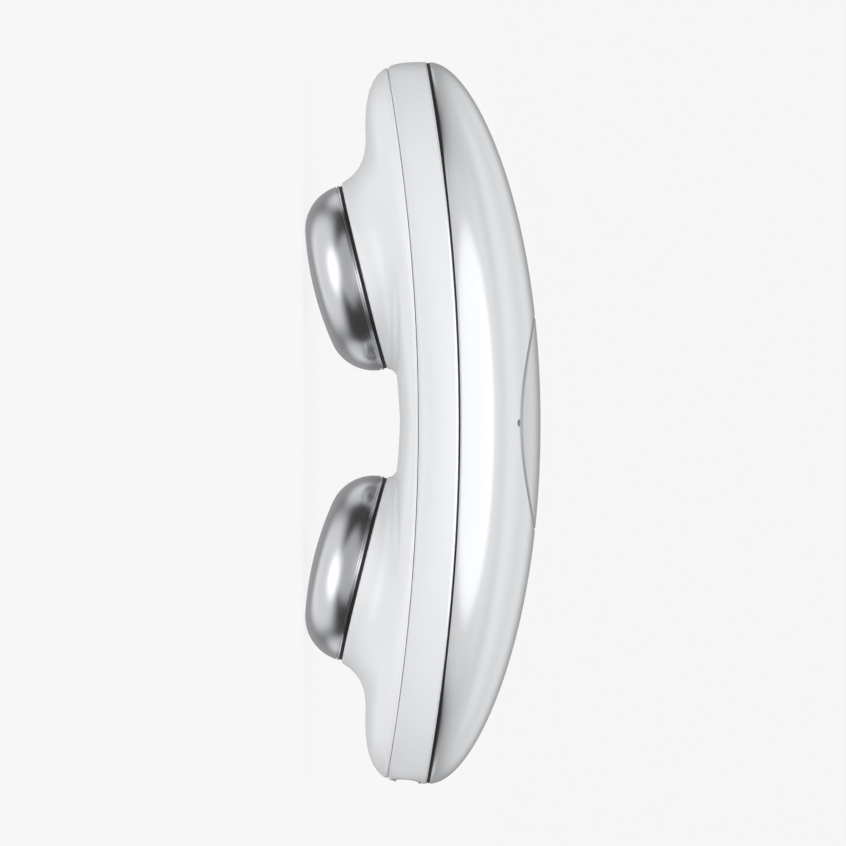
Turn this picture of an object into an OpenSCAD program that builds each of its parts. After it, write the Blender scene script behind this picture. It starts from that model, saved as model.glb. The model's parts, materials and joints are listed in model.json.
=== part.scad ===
/* [Case] */
// Length of the case
case_length = 112; // [108:1:118]
// Width of the case
case_width = 48; // [47:0.5:52]
// Height of the crown of the back shell above the seam
crown_height = 12.3; // [12.1:0.1:13.5]
// Depth of the belly below the seam at the waist
belly_depth = 9.8; // [9.6:0.1:10.8]
// Extra depth of the belly at the two ends
belly_gain = 4.4; // [3.6:0.1:5]
// Height of the waist above the surface that the domes stand on
waist_height = 14.4; // [14:0.1:16]
// Radius of the bow along the seam
bow_radius = 300; // [285:5:360]
// Radius of the bow along the bottom edge of the back shell
lid_bow_radius = 340; // [325:5:400]
// Height of the band
band_height = 6.2; // [6:0.1:6.8]
// Wall of the shells
wall = 1.8; // [1.6:0.1:1.9]
// Gap between the back shell and the band in the middle of the case
seam_gap = 0.25; // [0.15:0.05:0.4]
// Gap between the band and the front shell
band_gap = 0.15; // [0.1:0.05:0.3]
// Depth of the back shell's locating lip inside the band
lip_depth = 1.6; // [1.4:0.1:2]
// Thickness of the locating lip
lip_wall = 1.2; // [1:0.1:1.4]
// Clearance between the locating lip and the band
lip_clearance = 0.15; // [0.1:0.05:0.25]
// Reach of the snap hooks into the band
hook_reach = 0.5; // [0.4:0.05:0.6]
// Length of a snap hook
hook_length = 5; // [4:0.5:7]
// Distance from the middle of the case to the outer snap hooks
hook_spacing = 30; // [26:1:34]
// Distance that the gasket of the seam lies back from the surface
seam_gasket_inset = 0.6; // [0.5:0.05:0.8]

/* [Electrodes] */
// Distance between the two electrode domes
pod_spacing = 45.1; // [44:0.1:47]
// Tilt of each dome towards the waist, in degrees
pod_tilt = 13.8; // [12:0.1:15]
// Diameter of a dome
dome_diameter = 29.3; // [28.5:0.1:30]
// Height of a dome above its seat
dome_height = 7.6; // [7:0.1:8]
// Radius of a dome's crown
dome_crown_radius = 50; // [45:1:60]
// Radius of a dome's rounded edge
dome_edge_radius = 7; // [6.6:0.1:7.2]
// Wall of a dome
dome_wall = 1.3; // [1:0.1:1.6]
// Diameter of the boss inside a dome
dome_boss_diameter = 8; // [7:0.5:10]
// Thickness of the gasket under a dome
seal_thickness = 0.5; // [0.4:0.05:0.7]
// Width of the gasket under a dome
seal_width = 2.7; // [2.2:0.1:3.2]
// Distance that the gasket lies back from a dome's edge
seal_inset = 0.3; // [0.2:0.05:0.4]
// Radius of the flare where a pod runs into the belly
flare_radius = 5.5; // [5:0.1:6]
// Share of the flare that is kept, where the rest would stand clear of the belly
flare_reach = 3.85; // [3.4:0.05:4]
// Thickness of the floor of a pod
pod_floor = 2; // [1.8:0.1:2.4]
// Diameter of a dome's stud
stud_diameter = 3; // [2.6:0.1:3.4]
// Clearance around a stud
stud_clearance = 0.1; // [0.05:0.05:0.2]
// Length of a stud above the floor of its pod
stud_tail = 3.7; // [3.4:0.1:4]
// Thickness of a ring terminal
tab_thickness = 0.4; // [0.3:0.1:0.6]
// Outer diameter of a ring terminal
tab_diameter = 6.4; // [6:0.1:7]
// Distance from the stud to the end of a terminal's crimp barrel
tab_length = 8.4; // [8.2:0.1:9]
// Length of the crimp barrel
barrel_length = 3.4; // [3:0.1:3.8]
// Width across the flats of a stud nut
nut_width = 5.5; // [5:0.1:5.8]
// Thickness of a stud nut
nut_thickness = 2.4; // [2:0.1:2.8]
// Diameter of an electrode lead
lead_diameter = 1.2; // [1:0.1:1.4]
// Distance along the case from a dome's middle to the place where its lead meets the board
lead_offset = 8.5; // [8:0.1:9]

/* [Button] */
// Diameter of the button
button_diameter = 32.8; // [32:0.1:33.4]
// Gap around the button
button_gap = 0.35; // [0.25:0.05:0.45]
// Wall of the button
button_wall = 1.6; // [1.4:0.1:1.8]
// Thickness of the button's skirt
skirt_wall = 1.2; // [1:0.1:1.4]
// Travel of the button
button_travel = 0.5; // [0.3:0.05:0.6]
// Depth of the button's flange below its crown
flange_drop = 6.5; // [6.3:0.1:6.7]
// Thickness of the flange
flange_thickness = 1; // [0.8:0.1:1.1]
// Reach of the flange past the button's skirt
flange_reach = 1.2; // [1:0.1:1.3]
// Play between the flange and its stops
stop_play = 0.15; // [0.1:0.05:0.2]
// Thickness of the collar around the button
collar_wall = 1.35; // [1.2:0.05:1.5]
// Thickness of the guide plate
guide_thickness = 1.6; // [1.4:0.1:1.7]
// Distance that the guide plate reaches past the collar
guide_margin = 0.5; // [0.2:0.1:0.9]
// Distance from the edge of the guide plate to its screws, along the case
guide_screw_offset = 1.9; // [1.6:0.1:2.4]
// Distance from the middle of the guide plate to its screws, across the case
guide_screw_y = 7; // [6:0.1:7.4]
// Diameter of the button's stem
stem_diameter = 4.8; // [4:0.1:5]
// Clearance around the stem
stem_clearance = 0.4; // [0.3:0.05:0.5]
// Distance that the stem reaches below the top of the guide plate
stem_reach = 0.5; // [0.4:0.05:0.6]
// Height of the return pad
pad_height = 1.7; // [1.5:0.1:2]
// Outer diameter of the return pad
pad_diameter = 12; // [11:0.5:14]
// Wall of the return pad
pad_wall = 2.4; // [1.8:0.1:2.6]
// Width of the push switch
switch_width = 6.2; // [6:0.1:6.6]
// Height of the push switch
switch_height = 3.5; // [3.2:0.1:3.6]
// Diameter of the push switch's plunger
plunger_diameter = 3.4; // [3:0.1:3.6]
// Length of the plunger inside the switch
plunger_depth = 1.3; // [1.2:0.1:1.5]
// Play between the plunger, the switch and the stem
plunger_play = 0.1; // [0.05:0.05:0.15]

/* [Chassis and boards] */
// Thickness of the foam under the battery
foam_thickness = 0.5; // [0.4:0.1:0.6]
// Length of the battery
battery_length = 30; // [28:0.5:31]
// Width of the battery
battery_width = 19; // [17:0.5:20]
// Thickness of the battery
battery_thickness = 3.4; // [3.2:0.1:3.5]
// Play between stacked pieces
stack_play = 0.05; // [0.02:0.01:0.08]
// Play around the battery in its cradle
cradle_play = 0.3; // [0.2:0.05:0.4]
// Wall of the battery's cradle
cradle_wall = 1.2; // [1:0.1:1.4]
// Depth of the battery's cradle below the chassis
cradle_depth = 3; // [2.4:0.1:3.2]
// Thickness of the chassis plate
chassis_thickness = 1; // [0.9:0.1:1.2]
// Distance from each end of the chassis to the end of the case
chassis_end_room = 10; // [9.8:0.1:10.4]
// Distance from the locating lip to the edge of the chassis
chassis_inset = 0.5; // [0.3:0.1:0.7]
// Width of the ledge in the band that the chassis rests on
ledge_width = 2; // [1.6:0.1:2.1]
// Thickness of that ledge
ledge_thickness = 1.2; // [1:0.1:1.5]
// Distance from the middle of the case to each end of the ledge
ledge_reach = 36; // [33:0.5:36.5]
// Diameter of the screw posts in the front shell
post_diameter = 4; // [3.6:0.1:4.2]
// Distance from the end posts to the end of the case
end_post_inset = 14; // [13.6:0.1:14.4]
// Distance across the case to the end posts
end_post_y = 8; // [7.8:0.1:8.6]
// Distance along the case to the middle posts
mid_post_x = 10.5; // [10:0.1:11]
// Distance from the middle posts to the side of the case
mid_post_inset = 8.2; // [8:0.1:8.3]
// Distance from each end of the main board to the end of the case
board_end_room = 17; // [16.8:0.1:17.5]
// Distance from each side of the main board to the side of the case
board_side_room = 10.5; // [10.4:0.1:11]
// Thickness of the main board
board_thickness = 1; // [0.8:0.1:1.2]
// Radius of the main board's corners
board_corner = 4; // [3:0.5:5]
// Height of the chassis's standoffs
standoff_height = 0.6; // [0.4:0.1:0.8]
// Diameter of the chassis's standoffs
standoff_diameter = 4.4; // [4:0.1:4.8]
// Distance from the main board's edges to its screws
board_screw_inset = 4; // [3.8:0.1:4.2]
// Diameter of the light pipe beside the button
light_diameter = 0.9; // [0.7:0.1:1]
// Height of the status light
led_height = 0.6; // [0.5:0.1:0.8]
// Distance that the main board reaches past the light pipe
light_margin = 1; // [0.8:0.1:1.2]
// Distance from the main board's side to the gate for the battery's leads
gate_offset = 1.7; // [1.6:0.1:1.8]
// Diameter of the battery's leads
battery_lead_diameter = 0.8; // [0.6:0.1:0.9]

/* [Pieces on the main board] */
// Width of the processor
processor_width = 7; // [5:0.5:7.5]
// Thickness of the processor
processor_height = 0.9; // [0.7:0.1:1.2]
// Width of the radio module
wireless_width = 11; // [9:0.5:11]
// Thickness of the radio module
wireless_height = 2; // [1.6:0.1:2.4]
// Diameter of the boost coil
coil_diameter = 6; // [5:0.5:7]
// Height of the boost coil
coil_height = 3; // [2.4:0.1:3.4]
// Width of the pulse transformer
transformer_width = 9.4; // [8:0.2:10]
// Height of the pulse transformer
transformer_height = 3.6; // [3:0.1:3.8]
// Distance from the ends of the main board to the transformer and to the radio module
end_piece_inset = 12; // [11.6:0.1:12.2]
// Length of the battery's connector
plug_length = 5; // [4:0.5:5.5]
// Width of the battery's connector
plug_width = 3.6; // [3:0.1:3.8]
// Height of the battery's connector
plug_height = 2.6; // [2.2:0.1:2.8]
// Length of the ribbon's connector
ribbon_socket_length = 3; // [2.6:0.1:3.4]
// Height of the ribbon's connector
ribbon_socket_height = 1.1; // [1:0.1:1.3]

/* [Charging socket] */
// Width of the charging socket
socket_width = 8.94; // [8.94:0.01:9.1]
// Height of the charging socket
socket_height = 3.26; // [3.2:0.01:3.3]
// Length of the charging socket
socket_length = 7.3; // [6.8:0.1:7.6]
// Wall of the charging socket's shell
socket_wall = 0.3; // [0.25:0.05:0.35]
// Width of the charging socket's tongue
socket_tongue = 6.7; // [6.6:0.1:6.8]
// Distance that the socket's mouth lies back from the end of the case
socket_recess = 1; // [0.9:0.1:1.2]
// Length of the socket that reaches past its board
socket_overhang = 3.6; // [3.4:0.1:3.8]
// Wall of the liner around the socket
liner_wall = 0.5; // [0.4:0.05:0.6]
// Length of the liner
liner_length = 1.6; // [1.2:0.1:2]
// Clearance around the socket and around its liner
liner_clearance = 0.1; // [0.05:0.05:0.15]
// Thickness of the socket's board
usb_board_thickness = 0.8; // [0.6:0.1:1]
// Width of the socket's board
usb_board_width = 11.2; // [11:0.1:11.6]
// Distance from the inner end of the socket's board to the end of the case
usb_board_inset = 12; // [11.8:0.1:12.2]
// Distance from the inner end of the socket's board to its screws
usb_screw_inset = 1.95; // [1.85:0.05:2.05]
// Distance from the sides of the socket's board to its screws
usb_screw_side = 1.3; // [1.2:0.05:1.4]
// Thickness of the ribbon between the boards
ribbon_thickness = 0.3; // [0.2:0.05:0.35]
// Width of the ribbon between the boards
ribbon_width = 5; // [4:0.5:5.5]
// Diameter of the vibration motor
motor_diameter = 10; // [8:0.5:10]
// Thickness of the vibration motor
motor_thickness = 2.8; // [2.4:0.1:3.2]
// Distance from the vibration motor to the end of the case
motor_inset = 10.5; // [10.2:0.1:10.8]
// Diameter of the vibration motor's leads
motor_lead_diameter = 0.6; // [0.5:0.1:0.7]
// Height of the top of the vibration motor's seat above the domes' lowest points
motor_seat_z = 12.8; // [12.7:0.1:13.4]

/* [Fasteners] */
// Diameter of the case screws
case_screw_diameter = 2; // [1.8:0.1:2.2]
// Length of the case screws below their heads
case_screw_length = 5; // [4:0.5:6]
// Diameter of the small screws
small_screw_diameter = 1.6; // [1.4:0.1:1.6]
// Length of the small screws below their heads
small_screw_length = 4; // [3.6:0.1:4.2]
// Ratio of a screw head's diameter to its shank's
head_ratio = 1.9; // [1.7:0.05:2]
// Ratio of a screw head's height to its shank's diameter
head_height_ratio = 0.6; // [0.5:0.05:0.65]
// Clearance around a screw in its thread
thread_clearance = 0.05; // [0.03:0.01:0.08]
// Clearance around a screw in a plain hole
hole_clearance = 0.25; // [0.2:0.05:0.3]

/* [Hidden] */

// Smoothness of round pieces, large and small
round_steps = 96;
small_steps = 32;
arc_steps = 360;
// A little extra that carries a cut past a face
over = 1;

// Shape of the shells: powers of the rounded outlines, points around and rings up and down
plan_power = 2.2;
crown_power = 2.2;
belly_power = 4;
plan_steps = 72;
upper_rings = [-16, 0, 14, 26, 38, 50, 62, 73, 82];
lower_rings = [12, 2, -20, -32, -40, -47, -55, -65, -77];

seam_z = waist_height + belly_depth;
top_z = seam_z + crown_height;
case_end = case_length / 2;
case_side = case_width / 2;

function rim(angle, power) =
    let (c = cos(angle), s = sin(angle), n = pow(pow(abs(c), power) + pow(abs(s), power), 1 / power))
    [c / n, s / n];
function bow_drop(x, radius) = radius - sqrt(radius * radius - x * x);
function belly(x) = belly_depth + belly_gain * pow(x / case_end, 2);
function skin_point(plan_angle, section_angle, inset) =
    let (plan = rim(plan_angle, plan_power),
         low = section_angle < 0,
         section = rim(section_angle, low ? belly_power : crown_power),
         x = (case_end - inset) * section[0] * plan[0],
         y = (case_side - inset) * section[0] * plan[1],
         rise = (low ? belly(x) : crown_height) - inset)
    [x, y, seam_z - bow_drop(x, bow_radius) + rise * section[1]];

// A closed form between rings of the case's rounded surface, set back from it by inset
module skin_form(inset, rings, pole_z, close_z) {
    rows = len(rings);
    points = concat(
        [for (ring = rings) for (k = [0 : plan_steps - 1]) skin_point(360 * k / plan_steps, ring, inset)],
        [[0, 0, close_z], [0, 0, pole_z]]);
    sides = [for (row = [0 : rows - 2]) for (k = [0 : plan_steps - 1])
        let (a = row * plan_steps + k,
             b = row * plan_steps + (k + 1) % plan_steps,
             c = a + plan_steps,
             d = b + plan_steps)
        each [[a, c, b], [b, c, d]]];
    base = plan_steps * rows;
    first = [for (k = [0 : plan_steps - 1]) [k, (k + 1) % plan_steps, base]];
    last = [for (k = [0 : plan_steps - 1])
        [base - plan_steps + (k + 1) % plan_steps, base - plan_steps + k, base + 1]];
    faces = concat(sides, first, last);
    rising = rings[rows - 1] > rings[0];
    polyhedron(points, rising ? faces : [for (f = faces) [f[0], f[2], f[1]]], convexity = 4);
}
module upper_form(inset) skin_form(inset, upper_rings, top_z - inset, seam_z - case_width / 12);
module lower_form(inset) skin_form(inset, lower_rings, waist_height + inset, seam_z + crown_height * 0.7);

module plan_outline(inset) polygon([for (k = [0 : plan_steps - 1])
    let (p = rim(360 * k / plan_steps, plan_power))
    [(case_end - inset) * p[0], (case_side - inset) * p[1]]]);
module plan_ring(outer_inset, inner_inset, low_z, high_z) translate([0, 0, low_z])
    linear_extrude(high_z - low_z) difference() {
        plan_outline(outer_inset);
        plan_outline(inner_inset);
    }
// Everything below an arc along the case, and the slab between two such arcs
module under_arc(lift, radius) translate([0, 0, seam_z + lift - radius]) rotate([90, 0, 0])
    cylinder(r = radius, h = case_width * 2, center = true, $fn = arc_steps);
module arc_slab(low_lift, high_lift, radius) rotate([90, 0, 0])
    linear_extrude(case_width * 2, center = true) difference() {
        translate([0, seam_z + high_lift - radius]) circle(radius, $fn = arc_steps);
        translate([0, seam_z + low_lift - radius]) circle(radius, $fn = arc_steps);
    }

module at_all(places) for (p = places) translate([p[0], p[1], 0]) children();
function four(x, y) = [for (sx = [-1, 1]) for (sy = [-1, 1]) [sx * x, sy * y]];
module rod(diameter, low_z, high_z) translate([0, 0, low_z])
    cylinder(d = diameter, h = high_z - low_z, $fn = diameter > 8 ? round_steps : small_steps);
module tube(outer, inner, low_z, high_z) difference() {
    rod(outer, low_z, high_z);
    rod(inner, low_z - over, high_z + over);
}
module block(size, low_z) translate([-size[0] / 2, -size[1] / 2, low_z]) cube(size);

// A screw with its head upwards from seat_z, or downwards with up = -1
module screw(diameter, length, seat_z, up = 1) translate([0, 0, seat_z]) mirror([0, 0, up > 0 ? 0 : 1])
    difference() {
        union() {
            rod(diameter, -length, 0);
            rod(diameter * head_ratio, 0, diameter * head_height_ratio);
        }
        translate([0, 0, diameter * head_height_ratio / 2])
            cylinder(d = diameter * 0.9, h = diameter, $fn = 6);
    }

// A round wire along a smooth curve through points, with across set square to most of its run
function curve_point(p, i, t) =
    let (n = len(p) - 1,
         a = p[max(i - 1, 0)], b = p[i], c = p[min(i + 1, n)], d = p[min(i + 2, n)])
    (2 * b + (c - a) * t + (2 * a - 5 * b + 4 * c - d) * t * t + (3 * b - a - 3 * c + d) * t * t * t) / 2;
function curve(p, steps) = concat(
    [for (i = [0 : len(p) - 2]) for (s = [0 : steps - 1]) curve_point(p, i, s / steps)], [p[len(p) - 1]]);
module wire(points, diameter, across) {
    sides = 8;
    path = curve(points, 4);
    last = len(path) - 1;
    rings = [for (i = [0 : last])
        let (along = path[min(i + 1, last)] - path[max(i - 1, 0)],
             u = cross(along, across) / norm(cross(along, across)),
             v = cross(along, u) / norm(cross(along, u)))
        for (k = [0 : sides - 1])
            path[i] + diameter / 2 * (cos(360 * k / sides) * u + sin(360 * k / sides) * v)];
    walls = [for (i = [0 : last - 1]) for (k = [0 : sides - 1])
        let (a = i * sides + k, b = i * sides + (k + 1) % sides)
        each [[a, b, a + sides], [b, b + sides, a + sides]]];
    caps = [[for (k = [0 : sides - 1]) sides - 1 - k], [for (k = [0 : sides - 1]) last * sides + k]];
    polyhedron(rings, concat(walls, caps), convexity = 4);
}

// Domes: the seat plane of a pod holds its own origin, with the case above it
dome_r = dome_diameter / 2;
edge_r = dome_r - dome_edge_radius;
crown_t = dome_crown_radius - dome_height;
edge_t = crown_t - sqrt(pow(dome_crown_radius - dome_edge_radius, 2) - pow(edge_r, 2));
pod_z = dome_edge_radius + edge_r * sin(pod_tilt) - edge_t * cos(pod_tilt);
floor_t = seal_thickness + pod_floor;
tab_t = floor_t + tab_thickness;
nut_t = tab_t + nut_thickness;
stud_t = floor_t + stud_tail;
barrel_diameter = lead_diameter + tab_thickness;
pod_depth = 10;
lead_x = pod_spacing / 2 + lead_offset;
module at_pod(side) mirror([side < 0 ? 1 : 0, 0, 0])
    translate([pod_spacing / 2, 0, pod_z]) rotate([0, pod_tilt, 0]) children();
// A point of a pod's own plane as a point of the case
function from_pod(side, r, t) = [
    side * (pod_spacing / 2 + r * cos(pod_tilt) + t * sin(pod_tilt)),
    0,
    pod_z - r * sin(pod_tilt) + t * cos(pod_tilt)];

// Stack inside the case, from the belly upwards
foam_z = waist_height + wall + stack_play;
battery_z = foam_z + foam_thickness;
chassis_z = battery_z + battery_thickness + stack_play;
chassis_top = chassis_z + chassis_thickness;
board_z = chassis_top + standoff_height;
board_top = board_z + board_thickness;
switch_top = board_top + switch_height;
// Button, from its crown downwards
button_r = button_diameter / 2;
opening_r = button_r + button_gap;
guide_r = opening_r + collar_wall + guide_margin;
guide_screw_x = guide_r + guide_screw_offset;
flange_top = top_z - flange_drop;
flange_z = flange_top - flange_thickness;
guide_top = flange_z - button_travel - stop_play;
guide_z = guide_top - guide_thickness;
stem_z = guide_top - stem_reach;
pad_top = guide_top + pad_height;
cap_inside_z = top_z - button_wall + 0.1;
light_y = -(opening_r + light_diameter / 2 - 0.05);
// Charging socket in the end of the band
port_z = seam_z - bow_drop(case_end, bow_radius) - band_height / 2;
usb_board_top = port_z - socket_height / 2;
usb_board_z = usb_board_top - usb_board_thickness;
socket_mouth_x = case_end - socket_recess;
socket_back_x = socket_mouth_x - socket_length;
usb_board_x = case_end - usb_board_inset;
usb_board_end = socket_mouth_x - socket_overhang;
usb_screw_x = usb_board_x + usb_screw_inset;
usb_screw_y = usb_board_width / 2 - usb_screw_side;
ribbon_bend = 1.4;
ribbon_x = socket_back_x - 2 * ribbon_thickness;
motor_x = case_end - motor_inset;
// Places inside the case
chassis_reach = case_end - chassis_end_room;
end_post_x = case_end - end_post_inset;
mid_post_y = case_side - mid_post_inset;
board_end = case_end - board_end_room;
board_side = case_side - board_side_room;
board_screw_x = board_end - board_screw_inset;
board_screw_y = board_side - board_screw_inset;
plug_x = battery_length / 2 + 0.2;
plug_y = board_side - plug_width / 2 - 0.7;
gate_x = plug_x + 3;
gate_y = board_side + gate_offset;

case_posts = concat(four(end_post_x, end_post_y),
                    [[mid_post_x, mid_post_y], [-mid_post_x, -mid_post_y]]);
board_posts = four(board_screw_x, board_screw_y);
guide_posts = four(guide_screw_x, guide_screw_y);
usb_posts = [[usb_screw_x, usb_screw_y], [usb_screw_x, -usb_screw_y]];
hooks = [for (x = [-hook_spacing, 0, hook_spacing]) for (s = [-1, 1]) [x, s]];
hook_height = 0.8;
rib_wall = 1.2;
tab_width = 5.2;

// Case
module pod_flare() rotate_extrude($fn = round_steps) difference() {
    translate([0, seal_thickness]) square([dome_r + flare_reach, flare_radius]);
    translate([dome_r + flare_radius, seal_thickness]) circle(flare_radius, $fn = round_steps);
}
module front_inside() difference() {
    union() {
        lower_form(wall);
        for (side = [-1, 1]) at_pod(side) rod(2 * (dome_r - wall), floor_t, pod_depth);
    }
    at_all(case_posts) rod(post_diameter, 0, chassis_z);
    at_all(usb_posts) rod(small_screw_diameter * 2, 0, usb_board_z);
    translate([usb_board_end - 2 * rib_wall, 0, 0]) block([rib_wall, usb_board_width - 2, usb_board_z], 0);
    translate([-motor_x, 0, 0]) rod(motor_diameter + rib_wall, 0, motor_seat_z);
}
module front_shell() color("white") difference() {
    union() {
        intersection() {
            lower_form(0);
            union() {
                under_arc(-band_height - band_gap, bow_radius);
                at_all(case_posts) rod(post_diameter, 0, chassis_z);
            }
        }
        for (side = [-1, 1]) at_pod(side) pod_flare();
    }
    front_inside();
    for (side = [-1, 1]) at_pod(side) rod(stud_diameter + 2 * stud_clearance, -over, floor_t + over);
    at_all(case_posts)
        rod(case_screw_diameter + 2 * thread_clearance, chassis_top - case_screw_length, chassis_z + over);
    at_all(usb_posts)
        rod(small_screw_diameter + 2 * thread_clearance,
            usb_board_top - small_screw_length * 0.7, chassis_z);
}

module port_profile(grow) {
    straight = socket_width - socket_height;
    square([straight, socket_height + 2 * grow], center = true);
    for (s = [-1, 1]) translate([s * straight / 2, 0])
        circle(d = socket_height + 2 * grow, $fn = small_steps);
}
module along_port(low_x, high_x) translate([low_x, 0, port_z]) rotate([90, 0, 90])
    linear_extrude(high_x - low_x) children();
module band_inside() difference() {
    lower_form(wall);
    difference() {
        block([2 * ledge_reach, case_width, ledge_thickness], chassis_z - ledge_thickness);
        translate([0, 0, chassis_z - ledge_thickness - over]) linear_extrude(ledge_thickness + 2 * over)
            plan_outline(wall + lip_clearance + lip_wall + chassis_inset + ledge_width);
    }
}
module hook_blocks(grow) for (h = hooks)
    translate([h[0], h[1] * case_side, seam_z - bow_drop(h[0], bow_radius) - lip_depth + 0.1 - grow])
        block([hook_length + 2 * grow, case_side, hook_height + 2 * grow], 0);
module mid_band() color("silver") difference() {
    intersection() {
        lower_form(0);
        arc_slab(-band_height, 0, bow_radius);
    }
    band_inside();
    along_port(socket_back_x, case_length) port_profile(liner_wall + 2 * liner_clearance);
    intersection() {
        plan_ring(wall - hook_reach - lip_clearance, wall + over, waist_height, top_z);
        hook_blocks(lip_clearance);
    }
}

module back_lip() difference() {
    back_lip_ring();
    along_port(socket_back_x, case_length) port_profile(liner_wall + 3 * liner_clearance);
}
module back_lip_ring() {
    intersection() {
        plan_ring(wall - 0.6, wall + lip_clearance + lip_wall, waist_height, top_z);
        difference() {
            under_arc(2, bow_radius);
            under_arc(seam_gap + 0.6, lid_bow_radius);
        }
    }
    intersection() {
        plan_ring(wall + lip_clearance, wall + lip_clearance + lip_wall, waist_height, top_z);
        arc_slab(-lip_depth, 2, bow_radius);
    }
    intersection() {
        plan_ring(wall - hook_reach, wall + lip_wall, waist_height, top_z);
        hook_blocks(0);
    }
}
module back_inside() difference() {
    upper_form(wall);
    rod(2 * (opening_r + collar_wall), flange_top + stop_play, top_z);
    at_all(guide_posts) rod(post_diameter, guide_top, top_z);
}
module back_shell() color("white") {
    difference() {
        upper_form(0);
        under_arc(seam_gap, lid_bow_radius);
        back_inside();
        rod(2 * opening_r, seam_z, top_z + over);
        translate([0, light_y, 0]) rod(light_diameter + 0.1, seam_z, top_z + over);
        at_all(guide_posts)
            rod(small_screw_diameter + 2 * thread_clearance, seam_z, guide_z + small_screw_length + 0.4);
    }
    back_lip();
}
module seam_gasket() color("black") intersection() {
    plan_ring(seam_gasket_inset, wall - 0.2, waist_height, top_z);
    difference() {
        under_arc(seam_gap - stack_play, lid_bow_radius);
        under_arc(stack_play / 2, bow_radius);
    }
}

// Electrodes
module dome_profile(inset) intersection() {
    translate([0, -dome_crown_radius]) square([dome_r - inset, dome_crown_radius]);
    union() {
        translate([edge_r, edge_t]) circle(dome_edge_radius - inset, $fn = round_steps);
        intersection() {
            translate([0, crown_t]) circle(dome_crown_radius - inset, $fn = arc_steps);
            polygon([[0, crown_t], [0, crown_t - 1.2 * (crown_t - edge_t)],
                     [1.2 * edge_r, crown_t - 1.2 * (crown_t - edge_t)]]);
        }
    }
}
module electrode_dome(side) color("gainsboro") at_pod(side) {
    rotate_extrude($fn = round_steps) difference() {
        dome_profile(0);
        translate([0, 0.01]) dome_profile(dome_wall);
    }
    rod(dome_boss_diameter, -dome_height + dome_wall / 2, seal_thickness);
    rod(stud_diameter, 0, stud_t);
}
module electrode_gasket(side) color("dimgray") at_pod(side)
    tube(2 * (dome_r - seal_inset), 2 * (dome_r - seal_inset - seal_width), 0, seal_thickness);
module electrode_tab(side) color("goldenrod") at_pod(side) difference() {
    union() {
        rod(tab_diameter, floor_t, tab_t);
        translate([0, -barrel_diameter / 2, floor_t])
            cube([tab_length - barrel_length + 1, barrel_diameter, tab_thickness]);
        translate([tab_length - barrel_length, 0, floor_t + barrel_diameter / 2]) rotate([0, 90, 0])
            cylinder(d = barrel_diameter, h = barrel_length, $fn = small_steps);
    }
    rod(stud_diameter + 2 * stud_clearance, -over, nut_t);
}
module stud_nut(side) color("silver") at_pod(side) difference() {
    translate([0, 0, tab_t]) cylinder(d = nut_width / cos(30), h = nut_thickness, $fn = 6);
    rod(stud_diameter + 2 * thread_clearance, 0, stud_t + over);
}
module electrode_lead(side) color("ivory") wire([
    from_pod(side, tab_length + stack_play, floor_t + barrel_diameter / 2),
    from_pod(side, tab_length + 0.4 * lead_diameter, floor_t + barrel_diameter / 2),
    from_pod(side, tab_length + 0.8 * lead_diameter, floor_t + barrel_diameter / 2 + 0.25 * lead_diameter),
    from_pod(side, tab_length + 1.2 * lead_diameter, floor_t + barrel_diameter / 2 + lead_diameter),
    [side * (lead_x + lead_diameter), 0, (pod_z + board_z) / 2],
    [side * lead_x, 0, chassis_z - chassis_thickness],
    [side * lead_x, 0, board_z - stack_play]], lead_diameter, [0, 1, 0]);

// Button
module button_cap() color("whitesmoke") difference() {
    union() {
        difference() {
            intersection() {
                upper_form(0);
                rod(button_diameter, flange_z, top_z + over);
            }
            intersection() {
                upper_form(button_wall);
                rod(button_diameter - 2 * skirt_wall, flange_z - over, top_z);
            }
        }
        tube(button_diameter + 2 * flange_reach, button_diameter - 2 * skirt_wall, flange_z, flange_top);
        rod(pad_diameter + 0.8, pad_top, cap_inside_z);
        rod(stem_diameter, stem_z, cap_inside_z);
    }
    translate([0, light_y, 0]) rod(light_diameter + 1.1, flange_z - over, flange_top + 3 * over);
}
module button_guide() color("dimgray") difference() {
    union() {
        rod(2 * guide_r, guide_z, guide_top - stack_play);
        at_all(guide_posts) rod(post_diameter, guide_z, guide_top - stack_play);
        block([2 * guide_screw_x, 2 * guide_screw_y + post_diameter,
               guide_thickness - stack_play], guide_z);
    }
    rod(stem_diameter + 2 * stem_clearance, guide_z - over, guide_top + over);
    translate([0, light_y, 0]) rod(light_diameter + 0.4, guide_z - over, guide_top + over);
    at_all(guide_posts)
        rod(small_screw_diameter + hole_clearance, guide_z - over, guide_top + over);
}
module guide_screws() color("gray") at_all(guide_posts)
    screw(small_screw_diameter, small_screw_length, guide_z, -1);
module return_pad() color("lightgray")
    tube(pad_diameter, pad_diameter - 2 * pad_wall, guide_top - stack_play, pad_top);
module tact_switch() color("black") difference() {
    block([switch_width, switch_width, switch_height], board_top);
    rod(plunger_diameter + 2 * plunger_play, switch_top - plunger_depth - button_travel - plunger_play,
        switch_top + over);
}
module switch_plunger() color("red")
    rod(plunger_diameter, switch_top - plunger_depth, stem_z - plunger_play);
module light_pipe() color("lightcyan") intersection() {
    translate([0, light_y, 0]) rod(light_diameter, board_top + led_height + plunger_play, top_z);
    upper_form(0.05);
}
module status_led() color("lightyellow") translate([0, light_y, 0]) block([1.6, 0.8, led_height], board_top);

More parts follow.
